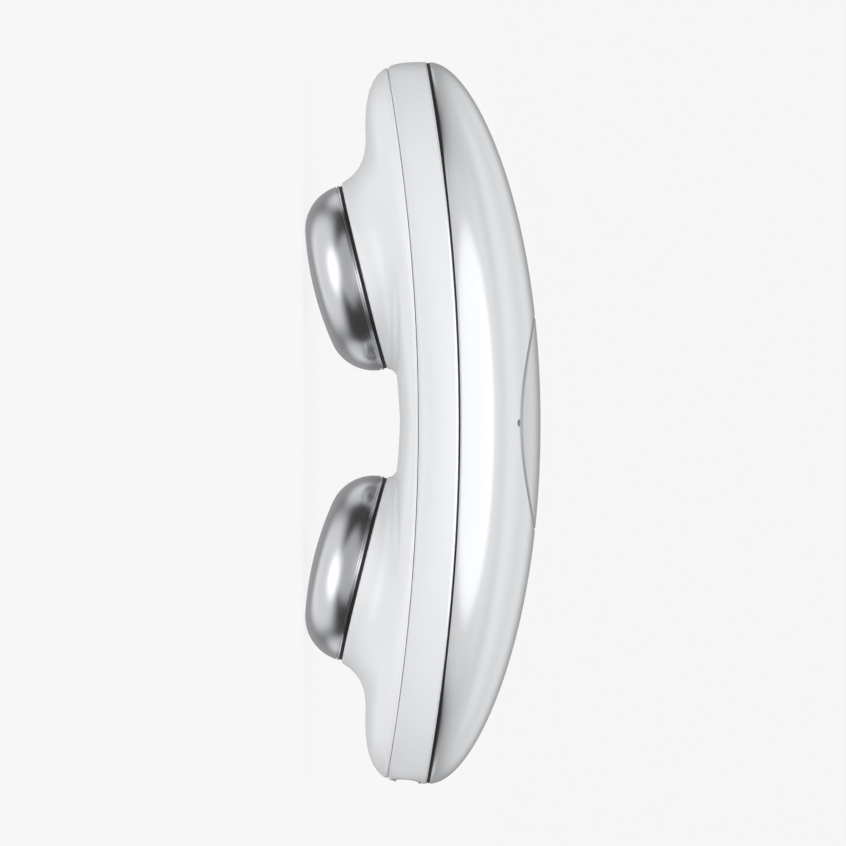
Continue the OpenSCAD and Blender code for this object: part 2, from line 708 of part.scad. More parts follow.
// Chassis, boards and battery
module chassis() color("slategray") difference() {
    union() {
        intersection() {
            translate([0, 0, chassis_z]) linear_extrude(chassis_thickness)
                plan_outline(wall + lip_clearance + lip_wall + chassis_inset);
            block([2 * chassis_reach, case_width, top_z], 0);
        }
        at_all(board_posts) rod(standoff_diameter, chassis_z, board_z);
        difference() {
            cradle_l = battery_length + 2 * cradle_play;
            cradle_w = battery_width + 2 * cradle_play;
            block([cradle_l + 2 * cradle_wall, cradle_w + 2 * cradle_wall, cradle_depth + 0.5],
                  chassis_z - cradle_depth);
            block([cradle_l, cradle_w, cradle_depth + 2], chassis_z - cradle_depth - 2);
            translate([battery_length / 2, 0, 0]) block([4 * cradle_wall, 6, cradle_depth + 1],
                chassis_z - cradle_depth - 1);
        }
    }
    at_all(case_posts) rod(case_screw_diameter + 2 * hole_clearance, 0, board_top);
    at_all(board_posts) rod(small_screw_diameter + 2 * thread_clearance, 0, board_top);
    for (side = [-1, 1]) translate([side * lead_x, 0, 0]) rod(lead_diameter + 2, 0, board_top);
    translate([-board_end - rib_wall, 0, 0]) block([2 * rib_wall, 4, board_top], 0);
    translate([gate_x, gate_y, 0]) block([5.4, 4 * battery_lead_diameter, board_top], 0);
}
module case_screws() color("gray") at_all(case_posts)
    screw(case_screw_diameter, case_screw_length, chassis_top);
module board_plate(low_z, high_z) translate([0, 0, low_z]) linear_extrude(high_z - low_z) {
    square(2 * [board_end - board_corner, board_side], center = true);
    square(2 * [board_end, board_side - board_corner], center = true);
    for (p = four(board_end - board_corner, board_side - board_corner))
        translate(p) circle(board_corner, $fn = small_steps);
    translate([-tab_width / 2, light_y - light_margin]) square([tab_width, -light_y]);
}
module main_board() color("darkgreen") difference() {
    board_plate(board_z, board_top);
    at_all(board_posts) rod(small_screw_diameter + hole_clearance, 0, top_z);
}
module board_screws() color("gray") at_all(board_posts)
    screw(small_screw_diameter, small_screw_length * 0.6, board_top);
module processor_chip() color("black")
    translate([-switch_width / 2 - processor_width / 2 - 4.4, -processor_width / 2 - 1.5, 0])
        block([processor_width, processor_width, processor_height], board_top);
module wireless_module() color("silver") translate([end_piece_inset - board_end, 0, 0])
    block([wireless_width, wireless_width, wireless_height], board_top);
module boost_coil() color("dimgray")
    translate([switch_width / 2 + coil_diameter, -coil_diameter, 0]) difference() {
        rod(coil_diameter, board_top, board_top + coil_height);
        tube(coil_diameter + 2, coil_diameter * 0.77,
             board_top + coil_height * 0.25, board_top + coil_height * 0.75);
    }
module pulse_transformer() color("khaki") translate([board_end - end_piece_inset, 0, 0]) {
    flange = transformer_height * 0.25;
    block([transformer_width * 0.6, transformer_width * 0.85, transformer_height], board_top);
    for (z = [0, transformer_height - flange])
        block([transformer_width, transformer_width, flange], board_top + z);
}
module ribbon_connector() color("ivory") translate([board_end - ribbon_socket_length / 2 - 0.5, 0, 0])
    block([ribbon_socket_length, ribbon_width + 1.4, ribbon_socket_height], board_top);
module battery() color("lightsteelblue") {
    block([battery_length - 2, battery_width, battery_thickness], battery_z);
    translate([battery_length / 2 - 1, 0, 0])
        block([2, battery_width - 3, battery_thickness - 1.6], battery_z + 0.8);
    translate([1 - battery_length / 2, 0, 0]) block([2, battery_width - 1, battery_thickness], battery_z);
}
module battery_foam() color("darkslategray")
    block([battery_length - 6, battery_width - 4, foam_thickness], foam_z);
module battery_connector() color("ivory") translate([plug_x, plug_y, 0])
    block([plug_length, plug_width, plug_height], board_top);
module battery_leads() for (s = [0, 1]) color(s == 0 ? "firebrick" : "black") wire([
    [battery_length / 2 + stack_play, 0.8 - 1.6 * s, battery_z + battery_thickness / 2],
    [battery_length / 2 + 3.2 + 1.2 * s, 1.5 - 0.9 * s, battery_z + battery_thickness / 2],
    [gate_x + 1.3 + 1.3 * s, gate_y - 7.2 + 0.4 * s, chassis_z - 1.4],
    [gate_x - 0.7 + 1.4 * s, gate_y, chassis_z],
    [gate_x - 1.7 + 1.4 * s, gate_y, board_top - 0.4],
    [plug_x - 0.3 + 1.5 * s, gate_y - 0.5, board_top + plug_height / 2],
    [plug_x - 0.7 + 1.4 * s, plug_y + plug_width / 2 + stack_play, board_top + plug_height / 2 + 0.2]],
    battery_lead_diameter, [1, 0.1, 0]);

// Charging socket and vibration motor
module usb_board() color("darkgreen") difference() {
    translate([(usb_board_x + usb_board_end) / 2, 0, 0])
        block([usb_board_end - usb_board_x, usb_board_width, usb_board_thickness], usb_board_z);
    at_all(usb_posts) rod(small_screw_diameter + hole_clearance, 0, top_z);
}
module usb_screws() color("gray") at_all(usb_posts)
    screw(small_screw_diameter, small_screw_length * 0.6, usb_board_top);
module usb_socket() color("silver") {
    difference() {
        along_port(socket_back_x, socket_mouth_x) port_profile(0);
        along_port(socket_back_x + 0.8, case_length) port_profile(-socket_wall);
    }
    translate([socket_back_x + 0.4, -socket_tongue / 2, port_z - 0.35])
        cube([socket_length - 2, socket_tongue, 0.7]);
}
module port_liner() color("dimgray") difference() {
    along_port(socket_mouth_x - liner_length, socket_mouth_x) port_profile(liner_wall + liner_clearance);
    along_port(0, case_length) port_profile(liner_clearance);
}
module bend(radius) intersection() {
    difference() {
        circle(radius + ribbon_thickness / 2, $fn = small_steps);
        circle(radius - ribbon_thickness / 2, $fn = small_steps);
    }
    square(2 * radius);
}
module usb_ribbon() color("orange") rotate([90, 0, 0]) linear_extrude(ribbon_width, center = true) {
    low = usb_board_top + stack_play + ribbon_thickness / 2;
    high = board_top + 0.6;
    half = ribbon_thickness / 2;
    translate([ribbon_x - ribbon_bend, high - ribbon_bend]) bend(ribbon_bend);
    translate([ribbon_x - ribbon_bend, low + ribbon_bend]) mirror([0, 1]) bend(ribbon_bend);
    translate([ribbon_x - half, low + ribbon_bend]) square([ribbon_thickness, high - low - 2 * ribbon_bend]);
    translate([usb_board_x + 0.6, low - half])
        square([ribbon_x - ribbon_bend - usb_board_x - 0.6, ribbon_thickness]);
    translate([board_end - 0.45, high - half])
        square([ribbon_x - ribbon_bend - board_end + 0.45, ribbon_thickness]);
}
module vibration_motor() color("silver") translate([-motor_x, 0, 0])
    rod(motor_diameter, motor_seat_z + stack_play, motor_seat_z + motor_thickness);
module motor_leads() color("steelblue") for (s = [-1, 1]) wire([
    [-motor_x + motor_diameter / 2 + 0.1, motor_lead_diameter * s, motor_seat_z + motor_thickness / 2],
    [-motor_x + motor_diameter / 2 + 0.4, motor_lead_diameter * s, motor_seat_z + motor_thickness / 2],
    [-motor_x + motor_diameter / 2 + 0.7, motor_lead_diameter * s, motor_seat_z + motor_thickness / 2 + 0.4],
    [-motor_x + motor_diameter / 2 + 0.7, motor_lead_diameter * s, motor_seat_z + motor_thickness / 2 + 1.2],
    [-board_end - rib_wall, motor_lead_diameter * s, chassis_z - 1.5],
    [-board_end - rib_wall, motor_lead_diameter * s, board_z],
    [-board_end - 0.7, motor_lead_diameter * s, board_top + 0.7],
    [-board_end + 0.7, motor_lead_diameter * s, board_top + 1],
    [-board_end + 1, motor_lead_diameter * s, board_top + 0.5],
    [-board_end + 1, motor_lead_diameter * s, board_top + stack_play]], motor_lead_diameter, [0, 1, 0]);

front_shell();
mid_band();
back_shell();
seam_gasket();
chassis();
case_screws();
electrode_dome(-1);  // electrode_dome_left
electrode_dome(1);  // electrode_dome_right
electrode_gasket(-1);  // electrode_gasket_left
electrode_gasket(1);  // electrode_gasket_right
electrode_tab(-1);  // electrode_tab_left
electrode_tab(1);  // electrode_tab_right
stud_nut(-1);  // stud_nut_left
stud_nut(1);  // stud_nut_right
electrode_lead(-1);  // electrode_lead_left
electrode_lead(1);  // electrode_lead_right
button_cap();
button_guide();
guide_screws();
return_pad();
tact_switch();
switch_plunger();
light_pipe();
status_led();
main_board();
board_screws();
processor_chip();
wireless_module();
boost_coil();
pulse_transformer();
ribbon_connector();
battery();
battery_foam();
battery_leads();
battery_connector();
usb_board();
usb_screws();
usb_socket();
port_liner();
usb_ribbon();
vibration_motor();
motor_leads();
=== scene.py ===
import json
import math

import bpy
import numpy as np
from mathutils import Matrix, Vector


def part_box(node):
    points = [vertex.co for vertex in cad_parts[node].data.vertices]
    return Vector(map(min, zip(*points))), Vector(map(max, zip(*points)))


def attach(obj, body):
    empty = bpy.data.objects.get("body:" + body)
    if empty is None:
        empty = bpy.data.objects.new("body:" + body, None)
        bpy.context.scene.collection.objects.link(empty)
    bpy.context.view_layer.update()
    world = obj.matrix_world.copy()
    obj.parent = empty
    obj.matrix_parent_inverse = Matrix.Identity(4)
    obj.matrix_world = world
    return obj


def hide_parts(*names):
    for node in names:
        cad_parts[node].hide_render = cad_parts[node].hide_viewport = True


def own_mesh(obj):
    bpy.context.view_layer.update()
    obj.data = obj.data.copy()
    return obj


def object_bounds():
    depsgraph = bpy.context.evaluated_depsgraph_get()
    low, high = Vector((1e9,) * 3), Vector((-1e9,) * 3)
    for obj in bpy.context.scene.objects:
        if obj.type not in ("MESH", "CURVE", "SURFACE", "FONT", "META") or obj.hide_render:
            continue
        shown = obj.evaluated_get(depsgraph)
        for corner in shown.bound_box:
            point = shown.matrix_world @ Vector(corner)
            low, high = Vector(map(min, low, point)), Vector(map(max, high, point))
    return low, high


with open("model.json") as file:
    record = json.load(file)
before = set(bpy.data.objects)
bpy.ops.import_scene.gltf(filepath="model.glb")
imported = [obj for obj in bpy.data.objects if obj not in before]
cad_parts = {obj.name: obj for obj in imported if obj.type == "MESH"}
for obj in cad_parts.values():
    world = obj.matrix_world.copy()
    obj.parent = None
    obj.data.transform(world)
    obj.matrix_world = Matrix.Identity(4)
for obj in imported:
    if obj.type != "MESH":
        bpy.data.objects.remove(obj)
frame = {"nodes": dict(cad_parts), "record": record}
CAD_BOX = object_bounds()

# %% [markdown]
# # A facial toning device
# The case is one bent, rounded capsule: a white front shell with two pods, a silver band around the
# middle and a white back shell with a round button in its crown. Two polished domes stand on the pods.
# The shells are all cut from the same surface, so this lesson first writes that surface down, and then
# wraps, cuts and joins meshes on it. Everything is in metres, and Z points up through the button.

scene = bpy.context.scene
nodes = frame["nodes"]
MM = 0.001

BAND_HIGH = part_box("mid_band")[1]
HALF_LENGTH, HALF_WIDTH = BAND_HIGH.x, BAND_HIGH.y
SEAM_Z = BAND_HIGH.z
TOP_Z = CAD_BOX[1].z
CROWN = TOP_Z - SEAM_Z
print("half length, half width, seam and top, mm:",
      [round(v / MM, 2) for v in (HALF_LENGTH, HALF_WIDTH, SEAM_Z, TOP_Z)])

# %% [markdown]
# The camera comes first. It looks along +Y at the long side of the case, from a little towards the
# button, with the case upright in the picture: -X is up and +Z is to the right. A long lens far away
# keeps the sides of the case almost parallel.

# %% Camera
PICTURE_HEIGHT = 131.2 * MM
CAMERA_LENS = 400.0
CAMERA_RISE = math.radians(1.0)
MIDDLE = Vector((0, 0, 18.27 * MM))

camera_data = bpy.data.cameras.new("camera")
camera_data.lens = CAMERA_LENS
camera_data.sensor_width = 36.0
camera_data.clip_start, camera_data.clip_end = 0.05, 30.0
camera = bpy.data.objects.new("camera", camera_data)
scene.collection.objects.link(camera)
scene.camera = camera
CAMERA_DISTANCE = PICTURE_HEIGHT * CAMERA_LENS / camera_data.sensor_width
towards = Vector((0, math.cos(CAMERA_RISE), -math.sin(CAMERA_RISE)))
up = Vector((-1, 0, 0))
across = towards.cross(up)
camera.matrix_world = Matrix((
    (across.x, up.x, -towards.x, MIDDLE.x - towards.x * CAMERA_DISTANCE),
    (across.y, up.y, -towards.y, MIDDLE.y - towards.y * CAMERA_DISTANCE),
    (across.z, up.z, -towards.z, MIDDLE.z - towards.z * CAMERA_DISTANCE),
    (0, 0, 0, 1)))
print("camera distance, m:", round(CAMERA_DISTANCE, 3))

# %% [markdown]
# ## Shader maths
# A material here is a recipe. `Signal` wraps one socket, so that Python's own operators add the Math
# nodes, and `Recipe.make` adds any other node: its settings first, then its inputs.

# %% Signal and Recipe
BUMP_DISTANCE = 0.1 * MM


def maths(operation, turned=False):
    """An operator that adds one Math node; turned is its reflected form."""
    def act(self, other):
        first, second = (other, self) if turned else (self, other)
        return self.recipe.make("ShaderNodeMath", {"operation": operation}, {0: first, 1: second})
    return act


class Signal:
    """A socket that adds, subtracts, multiplies and takes powers as a number does."""

    def __init__(self, recipe, socket):
        self.recipe, self.socket = recipe, socket

    __add__ = __radd__ = maths("ADD")
    __mul__ = __rmul__ = maths("MULTIPLY")
    __sub__, __rsub__ = maths("SUBTRACT"), maths("SUBTRACT", turned=True)
    __pow__, __rpow__ = maths("POWER"), maths("POWER", turned=True)
    at_least, at_most = maths("MAXIMUM"), maths("MINIMUM")

    def absolute(self):
        return maths("ABSOLUTE")(self, 0.0)

    def clipped(self):
        """The signal held between 0 and 1."""
        return self.at_least(0.0).at_most(1.0)


class Recipe:
    """The node tree of one material or world, built by expressions."""

    def __init__(self, owner):
        owner.use_nodes = True
        self.owner, self.tree = owner, owner.node_tree
        self.tree.nodes.clear()

    def feed(self, socket, value):
        if isinstance(value, Signal):
            self.tree.links.new(value.socket, socket)
        elif value is not None:
            socket.default_value = value

    def make(self, kind, settings=None, values=None, output=0):
        node = self.tree.nodes.new(kind)
        for name, setting in (settings or {}).items():
            setattr(node, name, setting)
        for name, value in (values or {}).items():
            self.feed(node.inputs[name], value)
        return Signal(self, node.outputs[output])

    def here(self):
        """Object coordinates in metres."""
        return self.make("ShaderNodeTexCoord", output=3)

    def place(self, stretch=(1, 1, 1)):
        """Object coordinates in millimetres, stretched where a pattern runs one way."""
        scale = tuple(s / MM for s in stretch)
        return self.make("ShaderNodeVectorMath", {"operation": "MULTIPLY"}, {0: self.here(), 1: scale})

    def sides(self):
        """X and Z of the object coordinates, in metres."""
        here = self.here()
        return (self.make("ShaderNodeSeparateXYZ", None, {0: here}, axis) for axis in (0, 2))

    def noise(self, at, scale, detail):
        return self.make("ShaderNodeTexNoise", None, {"Vector": at, "Scale": scale, "Detail": detail})

    def blend(self, factor, first, second):
        """A colour between two colours, by a factor from 0 to 1."""
        return self.make("ShaderNodeMix", {"data_type": "RGBA"}, {0: factor, 6: first, 7: second}, 2)

    def bump(self, height, strength):
        return self.make("ShaderNodeBump", None,
                         {"Strength": strength, "Distance": BUMP_DISTANCE, "Height": height})


def finish_material(recipe, values):
    """Ends a material's recipe with its shader and output, and gives the material."""
    shader = recipe.make("ShaderNodeBsdfPrincipled", None, values)
    output = recipe.tree.nodes.new("ShaderNodeOutputMaterial")
    recipe.tree.links.new(shader.socket, output.inputs["Surface"])
    return recipe.owner


def grey(value, blue=0.0):
    """A near-neutral colour, a little towards blue."""
    return (value * (1 - blue), value * (1 - blue / 3), value * (1 + blue / 2), 1)


print("a grey:", grey(0.5, 0.02))

# %% [markdown]
# ## The room
# Glossy plastic and metal are lit by softboxes, which they mirror as soft shapes. Area lights could do
# that too, but a soft-edged oval is simple to paint on the world. The key and its halo stand beside the
# camera, the low ones light the domes, and the rest light the back. The gaps between them stay dark and
# draw the grey rims of the shells. The camera itself sees a plain pale grey.

# %% World
PALE = 0.921
AMBIENT = 0.06
SOFTBOXES = {
    # strength, turn and half height, tilt and half width, softness of the edge; all angles in degrees
    "key": (1.85, -37, 38, 0, 29, 0.3),
    "halo of the key": (0.6, -38, 52, 0, 46, 0.5),
    "overhead": (0.4, -95, 32, 0, 58, 0.7),
    "low fill": (0.6, 32, 24, -8, 44, 0.5),
    "low strip": (1.15, 68, 15, 0, 21, 1.0),
    "pale table": (1.0, 94, 40, 0, 49, 0.6),
    "under the back": (0.2, 150, 32, 0, 60, 0.7),
    "rear top": (0.65, -130, 30, 0, 55, 0.7),
    "rear wall": (0.16, 178, 40, 0, 60, 0.6),
    "left rear": (0.8, 150, 40, -68, 26, 0.7),
    "right rear": (0.8, 150, 40, 68, 26, 0.7),
}


def softbox(recipe, turn_now, tilt_now, strength, turn_to, half_height, tilt_to, half_width, softness):
    """A soft-edged oval of light; turn is counted down from the camera, tilt towards +X."""
    def share(angle, middle, half):
        away = recipe.make("ShaderNodeMath", {"operation": "WRAP"},
                           {0: angle - math.radians(middle), 1: math.pi, 2: -math.pi})
        return (away * (1 / math.radians(half))) ** 2.0
    size = (share(turn_now, turn_to, half_height) + share(tilt_now, tilt_to, half_width)) ** 0.5
    rise = ((1.0 - size) * (1 / softness) + 0.5).clipped()
    return rise * rise * (3.0 - rise * 2.0) * strength


world = bpy.data.worlds.new("studio")
scene.world = world
room = Recipe(world)
ray = room.make("ShaderNodeTexCoord", output=0)
ray_x, ray_y, ray_z = (room.make("ShaderNodeSeparateXYZ", None, {0: ray}, axis) for axis in range(3))
turn_now = room.make("ShaderNodeMath", {"operation": "ARCTAN2"}, {0: ray_z * -1.0, 1: ray_y * -1.0})
tilt_now = room.make("ShaderNodeMath", {"operation": "ARCSINE"}, {0: ray_x})
light = AMBIENT
for box in SOFTBOXES.values():
    light = light + softbox(room, turn_now, tilt_now, *box)
camera_ray = room.make("ShaderNodeLightPath", output=0)
shine = room.make("ShaderNodeBackground", None, {"Color": (0.985, 0.99, 1.0, 1), "Strength": light})
plain = room.make("ShaderNodeBackground", None, {"Color": (1, 1, 1, 1), "Strength": PALE})
both = room.make("ShaderNodeMixShader", None, {0: camera_ray, 1: shine, 2: plain})
room.tree.links.new(both.socket, room.tree.nodes.new("ShaderNodeOutputWorld").inputs["Surface"])
scene.view_settings.view_transform = "Standard"
print("softboxes:", list(SOFTBOXES))

# %% [markdown]
# The floor is a wide disc that glows in nearly the same grey, so no horizon shows. Reflections and
# shadows pass it by, so the domes still mirror the ovals below it.

# %% Floor
FLOOR_RADIUS = 3.0
FLOOR_GLOW = 0.85
FLOOR_ALBEDO = 0.08

bpy.ops.object.select_all(action="DESELECT")
bpy.ops.mesh.primitive_circle_add(vertices=128, radius=FLOOR_RADIUS, fill_type="NGON")
floor = bpy.context.active_object
floor.name = "floor"
floor_material = bpy.data.materials.new("floor_pale")
ground = Recipe(floor_material)
glow = ground.make("ShaderNodeEmission", None, {"Color": (1, 1, 1, 1), "Strength": FLOOR_GLOW})
matte = ground.make("ShaderNodeBsdfDiffuse", None, {"Color": grey(FLOOR_ALBEDO)})
total = ground.make("ShaderNodeAddShader", None, {0: glow, 1: matte})
ground.tree.links.new(total.socket, ground.tree.nodes.new("ShaderNodeOutputMaterial").inputs["Surface"])
floor.data.materials.append(floor_material)
floor.visible_glossy = False
floor.visible_diffuse = False
floor.visible_transmission = False
floor.visible_shadow = False
print("floor radius, m:", FLOOR_RADIUS)

# %% [markdown]
# ## Finishes
# White plastic is not one flat white: it has a faint mottle, a slightly uneven gloss, and the very fine
# ripple that a polished mould leaves. Each finish below starts from noise in the object's own
# millimetres, so the grain has the same size on every piece.

# %% Plastics and metals
PLASTIC_CLOUD = (0.08, 3.0)  # scale and detail
METAL_CLOUD, METAL_MARKS = (0.15, 2.0), (2.0, 5.0)


def plastic(name, colour, gloss, mottle=0.02, ripple=0.02, grain=3.0, sheen_level=0.5):
    """Moulded plastic: gloss is its roughness and ripple the depth of its texture."""
    mix = Recipe(bpy.data.materials.new(name))
    at = mix.place()
    cloud = mix.noise(at, *PLASTIC_CLOUD)
    fine = mix.noise(at, grain, 4.0)
    dark = tuple(c * (1 - mottle) for c in colour[:3]) + (1,)
    light_tone = tuple(min(1.0, c * (1 + mottle)) for c in colour[:3]) + (1,)
    return finish_material(mix, {
        "Base Color": mix.blend(cloud, dark, light_tone),
        "Roughness": gloss * 0.85 + cloud * (gloss * 0.3),
        "Specular IOR Level": sheen_level,
        "Normal": mix.bump(fine, ripple)})


def metal(name, colour, gloss, streak=(1, 1, 1), mark=0.03, ripple=0.01, metallic=1.0):
    """Worked metal: streak stretches its fine marks along one way."""
    mix = Recipe(bpy.data.materials.new(name))
    marks = mix.noise(mix.place(streak), *METAL_MARKS)
    cloud = mix.noise(mix.place(), *METAL_CLOUD)
    dark = tuple(c * (1 - mark) for c in colour[:3]) + (1,)
    return finish_material(mix, {
        "Base Color": mix.blend(marks, dark, colour),
        "Metallic": metallic,
        "Roughness": gloss * 0.8 + marks * (gloss * 0.3) + cloud * (gloss * 0.1),
        "Normal": mix.bump(marks, ripple)})


# %% [markdown]
# The button is white too, in a darker copy of the front shell's white as painted shade, with a thin grey
# ring of painted shade round its edge, where the gap to the shell looks dark. The painted shade is a
# colour that changes with the distance from the button's axis.

# %% Button plastic
BUTTON_RADIUS, OPENING_RADIUS = 16.4 * MM, 16.75 * MM
# Width and soft inner edge of the painted shade round the button's edge.
EDGE_SHADE_WIDTH, EDGE_SHADE_SOFTNESS = 0.55 * MM, 0.25 * MM


def button_plastic(name):
    """A darker white than the front shell's, as painted shade, with a grey ring of painted shade round the
    button's edge.
    """
    mix = Recipe(bpy.data.materials.new(name))
    flat = mix.make("ShaderNodeVectorMath", {"operation": "MULTIPLY"}, {0: mix.here(), 1: (1, 1, 0)})
    radius = mix.make("ShaderNodeVectorMath", {"operation": "LENGTH"}, {0: flat}, 1)
    # Painted shade: a grey ring that darkens the button's edge, where the gap to the shell looks dark; the
    # ring is rougher too.
    painted_edge_shade = ((radius - (BUTTON_RADIUS - EDGE_SHADE_WIDTH)) * (1 / EDGE_SHADE_SOFTNESS)).clipped()
    cloud = mix.noise(mix.place(), *PLASTIC_CLOUD)
    # Painted shade: this white is a darker copy of the front shell's white.
    white = mix.blend(cloud, grey(0.55, 0.014), grey(0.56, 0.014))
    return finish_material(mix, {
        "Base Color": mix.blend(painted_edge_shade, white, grey(0.30, 0.02)),
        "Roughness": 0.14 + cloud * 0.04 + painted_edge_shade * 0.25,
        "Metallic": 0.16,
        "Specular IOR Level": 1.0,
        "Normal": mix.bump(mix.noise(mix.place(), 1.5, 4.0), 0.006)})


# %% [markdown]
# Every slot gets one finish, also inside the case, so that the device looks right when it is opened.

# %% All finishes
RECIPES = {
    "white_shell": (plastic, grey(0.935, 0.012), 0.22, 0.008, 0.004, 1.2, 0.75),
    "button_white": (button_plastic,),
    "silver_band": (metal, grey(0.87, 0.016), 0.30, (1, 1, 1), 0.02, 0.004, 0.0),
    "dome_metal": (metal, (0.58, 0.585, 0.60, 1), 0.22, (1, 1, 1), 0.012, 0.001),
    "dark_seal": (plastic, grey(0.022), 0.5, 0.1, 0.1, 3.0, 0.25),
    "grey_liner": (plastic, grey(0.42, 0.02), 0.4, 0.04, 0.04),
    "return_silicone": (plastic, grey(0.6), 0.5, 0.03, 0.05),
    "chassis_plastic": (plastic, grey(0.05, 0.05), 0.5, 0.08, 0.2),
    "screw_steel": (metal, grey(0.56, 0.01), 0.28, (4, 4, 1), 0.15),
    "stamped_steel": (metal, grey(0.62, 0.01), 0.3, (6, 1, 1), 0.12),
    "terminal_brass": (metal, (0.72, 0.52, 0.22, 1), 0.3, (1, 5, 1), 0.15),
    "board_green": (plastic, (0.03, 0.16, 0.07, 1), 0.3, 0.25, 0.05, 1.5),
    "chip_black": (plastic, grey(0.025), 0.5, 0.1, 0.15, 6.0),
    "connector_ivory": (plastic, (0.72, 0.66, 0.5, 1), 0.45, 0.04, 0.08),
    "switch_button": (plastic, (0.5, 0.05, 0.04, 1), 0.4, 0.05, 0.05),
    "ferrite": (plastic, grey(0.1), 0.6, 0.15, 0.3, 5.0),
    "winding_tape": (plastic, (0.75, 0.55, 0.12, 1), 0.35, 0.05, 0.05),
    "battery_pouch": (metal, grey(0.5, 0.04), 0.35, (1, 3, 1), 0.1, 0.05, 0.6),
    "foam_black": (plastic, grey(0.04), 0.9, 0.3, 0.6, 2.5),
    "lead_ivory": (plastic, (0.8, 0.76, 0.62, 1), 0.4, 0.04, 0.05),
    "lead_red": (plastic, (0.5, 0.03, 0.03, 1), 0.4, 0.05, 0.05),
    "lead_blue": (plastic, (0.05, 0.15, 0.42, 1), 0.4, 0.05, 0.05),
    "ribbon_amber": (plastic, (0.6, 0.26, 0.03, 1), 0.25, 0.06, 0.03),
    "light_clear": (plastic, grey(0.14, 0.02), 0.15, 0.03, 0.02),
    "led_yellow": (plastic, (0.85, 0.8, 0.4, 1), 0.4, 0.05, 0.05),
}
FINISHES = {name: make(name, *values) for name, (make, *values) in RECIPES.items()}
print("finishes:", len(FINISHES))

# %% [markdown]
# The frame's own pieces are dressed first. Those that are modelled again below are dressed there.

# %% Finishes on the carried-over nodes
for part in frame["record"]["subparts"]:
    carried = nodes[part["node"]].data.materials
    carried.clear()
    carried.append(FINISHES[part["material_slot"]])

# %% [markdown]
# ## The surface of the case
# From above the case is a superellipse, and so is its crown; its belly has squarer shoulders and grows
# deeper towards the ends. The whole is bowed along an arc, so that heights are counted from the bowed
# seam. These functions say where the surface is.

# %% Surface
PLAN_POWER = 2.2
BELLY_POWER = 3.5
BELLY_DEPTH, BELLY_GAIN, GAIN_POWER = 9.4 * MM, 5.7 * MM, 1.3
BOW_RADIUS = 300 * MM
WALL = 1.8 * MM
BAND_HEIGHT = 6.2 * MM
SETTLING_ROUNDS = 8
ROW_PACKING = 1.8  # above 1, the rows of a grid crowd towards its first rim


def bow_drop(x):
    return BOW_RADIUS - np.sqrt(BOW_RADIUS ** 2 - x ** 2)


def outline(angle):
    """A point of the unit outline seen from above."""
    c, s = np.cos(angle), np.sin(angle)
    size = (np.abs(c) ** PLAN_POWER + np.abs(s) ** PLAN_POWER) ** (1 / PLAN_POWER)
    return c / size, s / size


def on_plan(px, py, out=1.0):
    """A point of the case's plan, at a share of the way out to its outline."""
    return HALF_LENGTH * px * out, HALF_WIDTH * py * out


def belly(x):
    return BELLY_DEPTH + BELLY_GAIN * (np.abs(x) / HALF_LENGTH) ** GAIN_POWER


def reach_out(px, depth):
    """Share of the seam's outline that the belly still fills at a depth below the seam."""
    out = 1.0
    for _ in range(SETTLING_ROUNDS):
        out = (1 - (depth / belly(HALF_LENGTH * px * out)) ** BELLY_POWER) ** (1 / BELLY_POWER)
    return out


def push_in(x, y, inset):
    """Moves points of the plan inwards, square to its outline."""
    across, along = y / HALF_WIDTH ** 2, x / HALF_LENGTH ** 2
    size = np.hypot(across, along)
    return x - inset * along / size, y - inset * across / size


def plan_size(x, y, inset=0.0):
    """Below 1 inside the case's outline seen from above, 1 on it, to the power of the plan."""
    along = (np.abs(x) / (HALF_LENGTH - inset)) ** PLAN_POWER
    across = (np.abs(y) / (HALF_WIDTH - inset)) ** PLAN_POWER
    return along + across


def crown_height(x, y):
    """Height of the back shell's surface over a point of the plan."""
    rise = np.clip(1 - plan_size(x, y), 0, 1) ** (1 / PLAN_POWER)
    return SEAM_Z - bow_drop(x) + CROWN * rise


print("belly's depth in the middle and at an end, mm:",
      [round(float(belly(x)) / MM, 2) for x in (0, HALF_LENGTH)])

# %% [markdown]
# Two ways of making a mesh serve most pieces. `wrap` lays a flat grid around the case like a label, and
# `turn` spins an outline around an axis, as on a lathe. Both merge their doubles, so the meshes close.

# %% Wrapping and turning
CLOSENESS = 0.001 * MM


def start_piece(name, add):
    """Adds a primitive with nothing else selected, and names it."""
    bpy.ops.object.select_all(action="DESELECT")
    add()
    piece = bpy.context.active_object
    piece.name = piece.data.name = name
    return piece


def pick(piece):
    """Selects one piece alone and makes it active."""
    bpy.ops.object.select_all(action="DESELECT")
    piece.select_set(True)
    bpy.context.view_layer.objects.active = piece


def gather(items, field, size, kind=float):
    """One field of all vertices, edges or faces, as rows of an array."""
    values = np.zeros(len(items) * size, dtype=kind)
    items.foreach_get(field, values)
    return values.reshape(-1, size)


def get_points(piece):
    return gather(piece.data.vertices, "co", 3)


def set_points(piece, points):
    piece.data.vertices.foreach_set("co", np.ascontiguousarray(points, dtype=float).ravel())
    piece.data.update()


def edit(piece, *steps):
    """Runs edit-mode steps on the whole mesh of one piece."""
    pick(piece)
    bpy.ops.object.mode_set(mode="EDIT")
    bpy.ops.mesh.select_all(action="SELECT")
    for step in steps:
        step()
    bpy.ops.object.mode_set(mode="OBJECT")


def merge_doubles():
    bpy.ops.mesh.remove_doubles(threshold=CLOSENESS)


def dissolve_slivers():
    bpy.ops.mesh.dissolve_degenerate(threshold=CLOSENESS)


def face_outwards():
    bpy.ops.mesh.normals_make_consistent(inside=False)


def wrap(name, columns, rows, where):
    """A grid of columns and rows, placed by where(u, v) with u and v from 0 to 1, and closed in u."""
    piece = start_piece(name, lambda: bpy.ops.mesh.primitive_grid_add(
        x_subdivisions=columns, y_subdivisions=rows, size=1))
    flat = get_points(piece)
    set_points(piece, np.stack(where(flat[:, 0] + 0.5, flat[:, 1] + 0.5), axis=1))
    edit(piece, merge_doubles, face_outwards)
    return piece


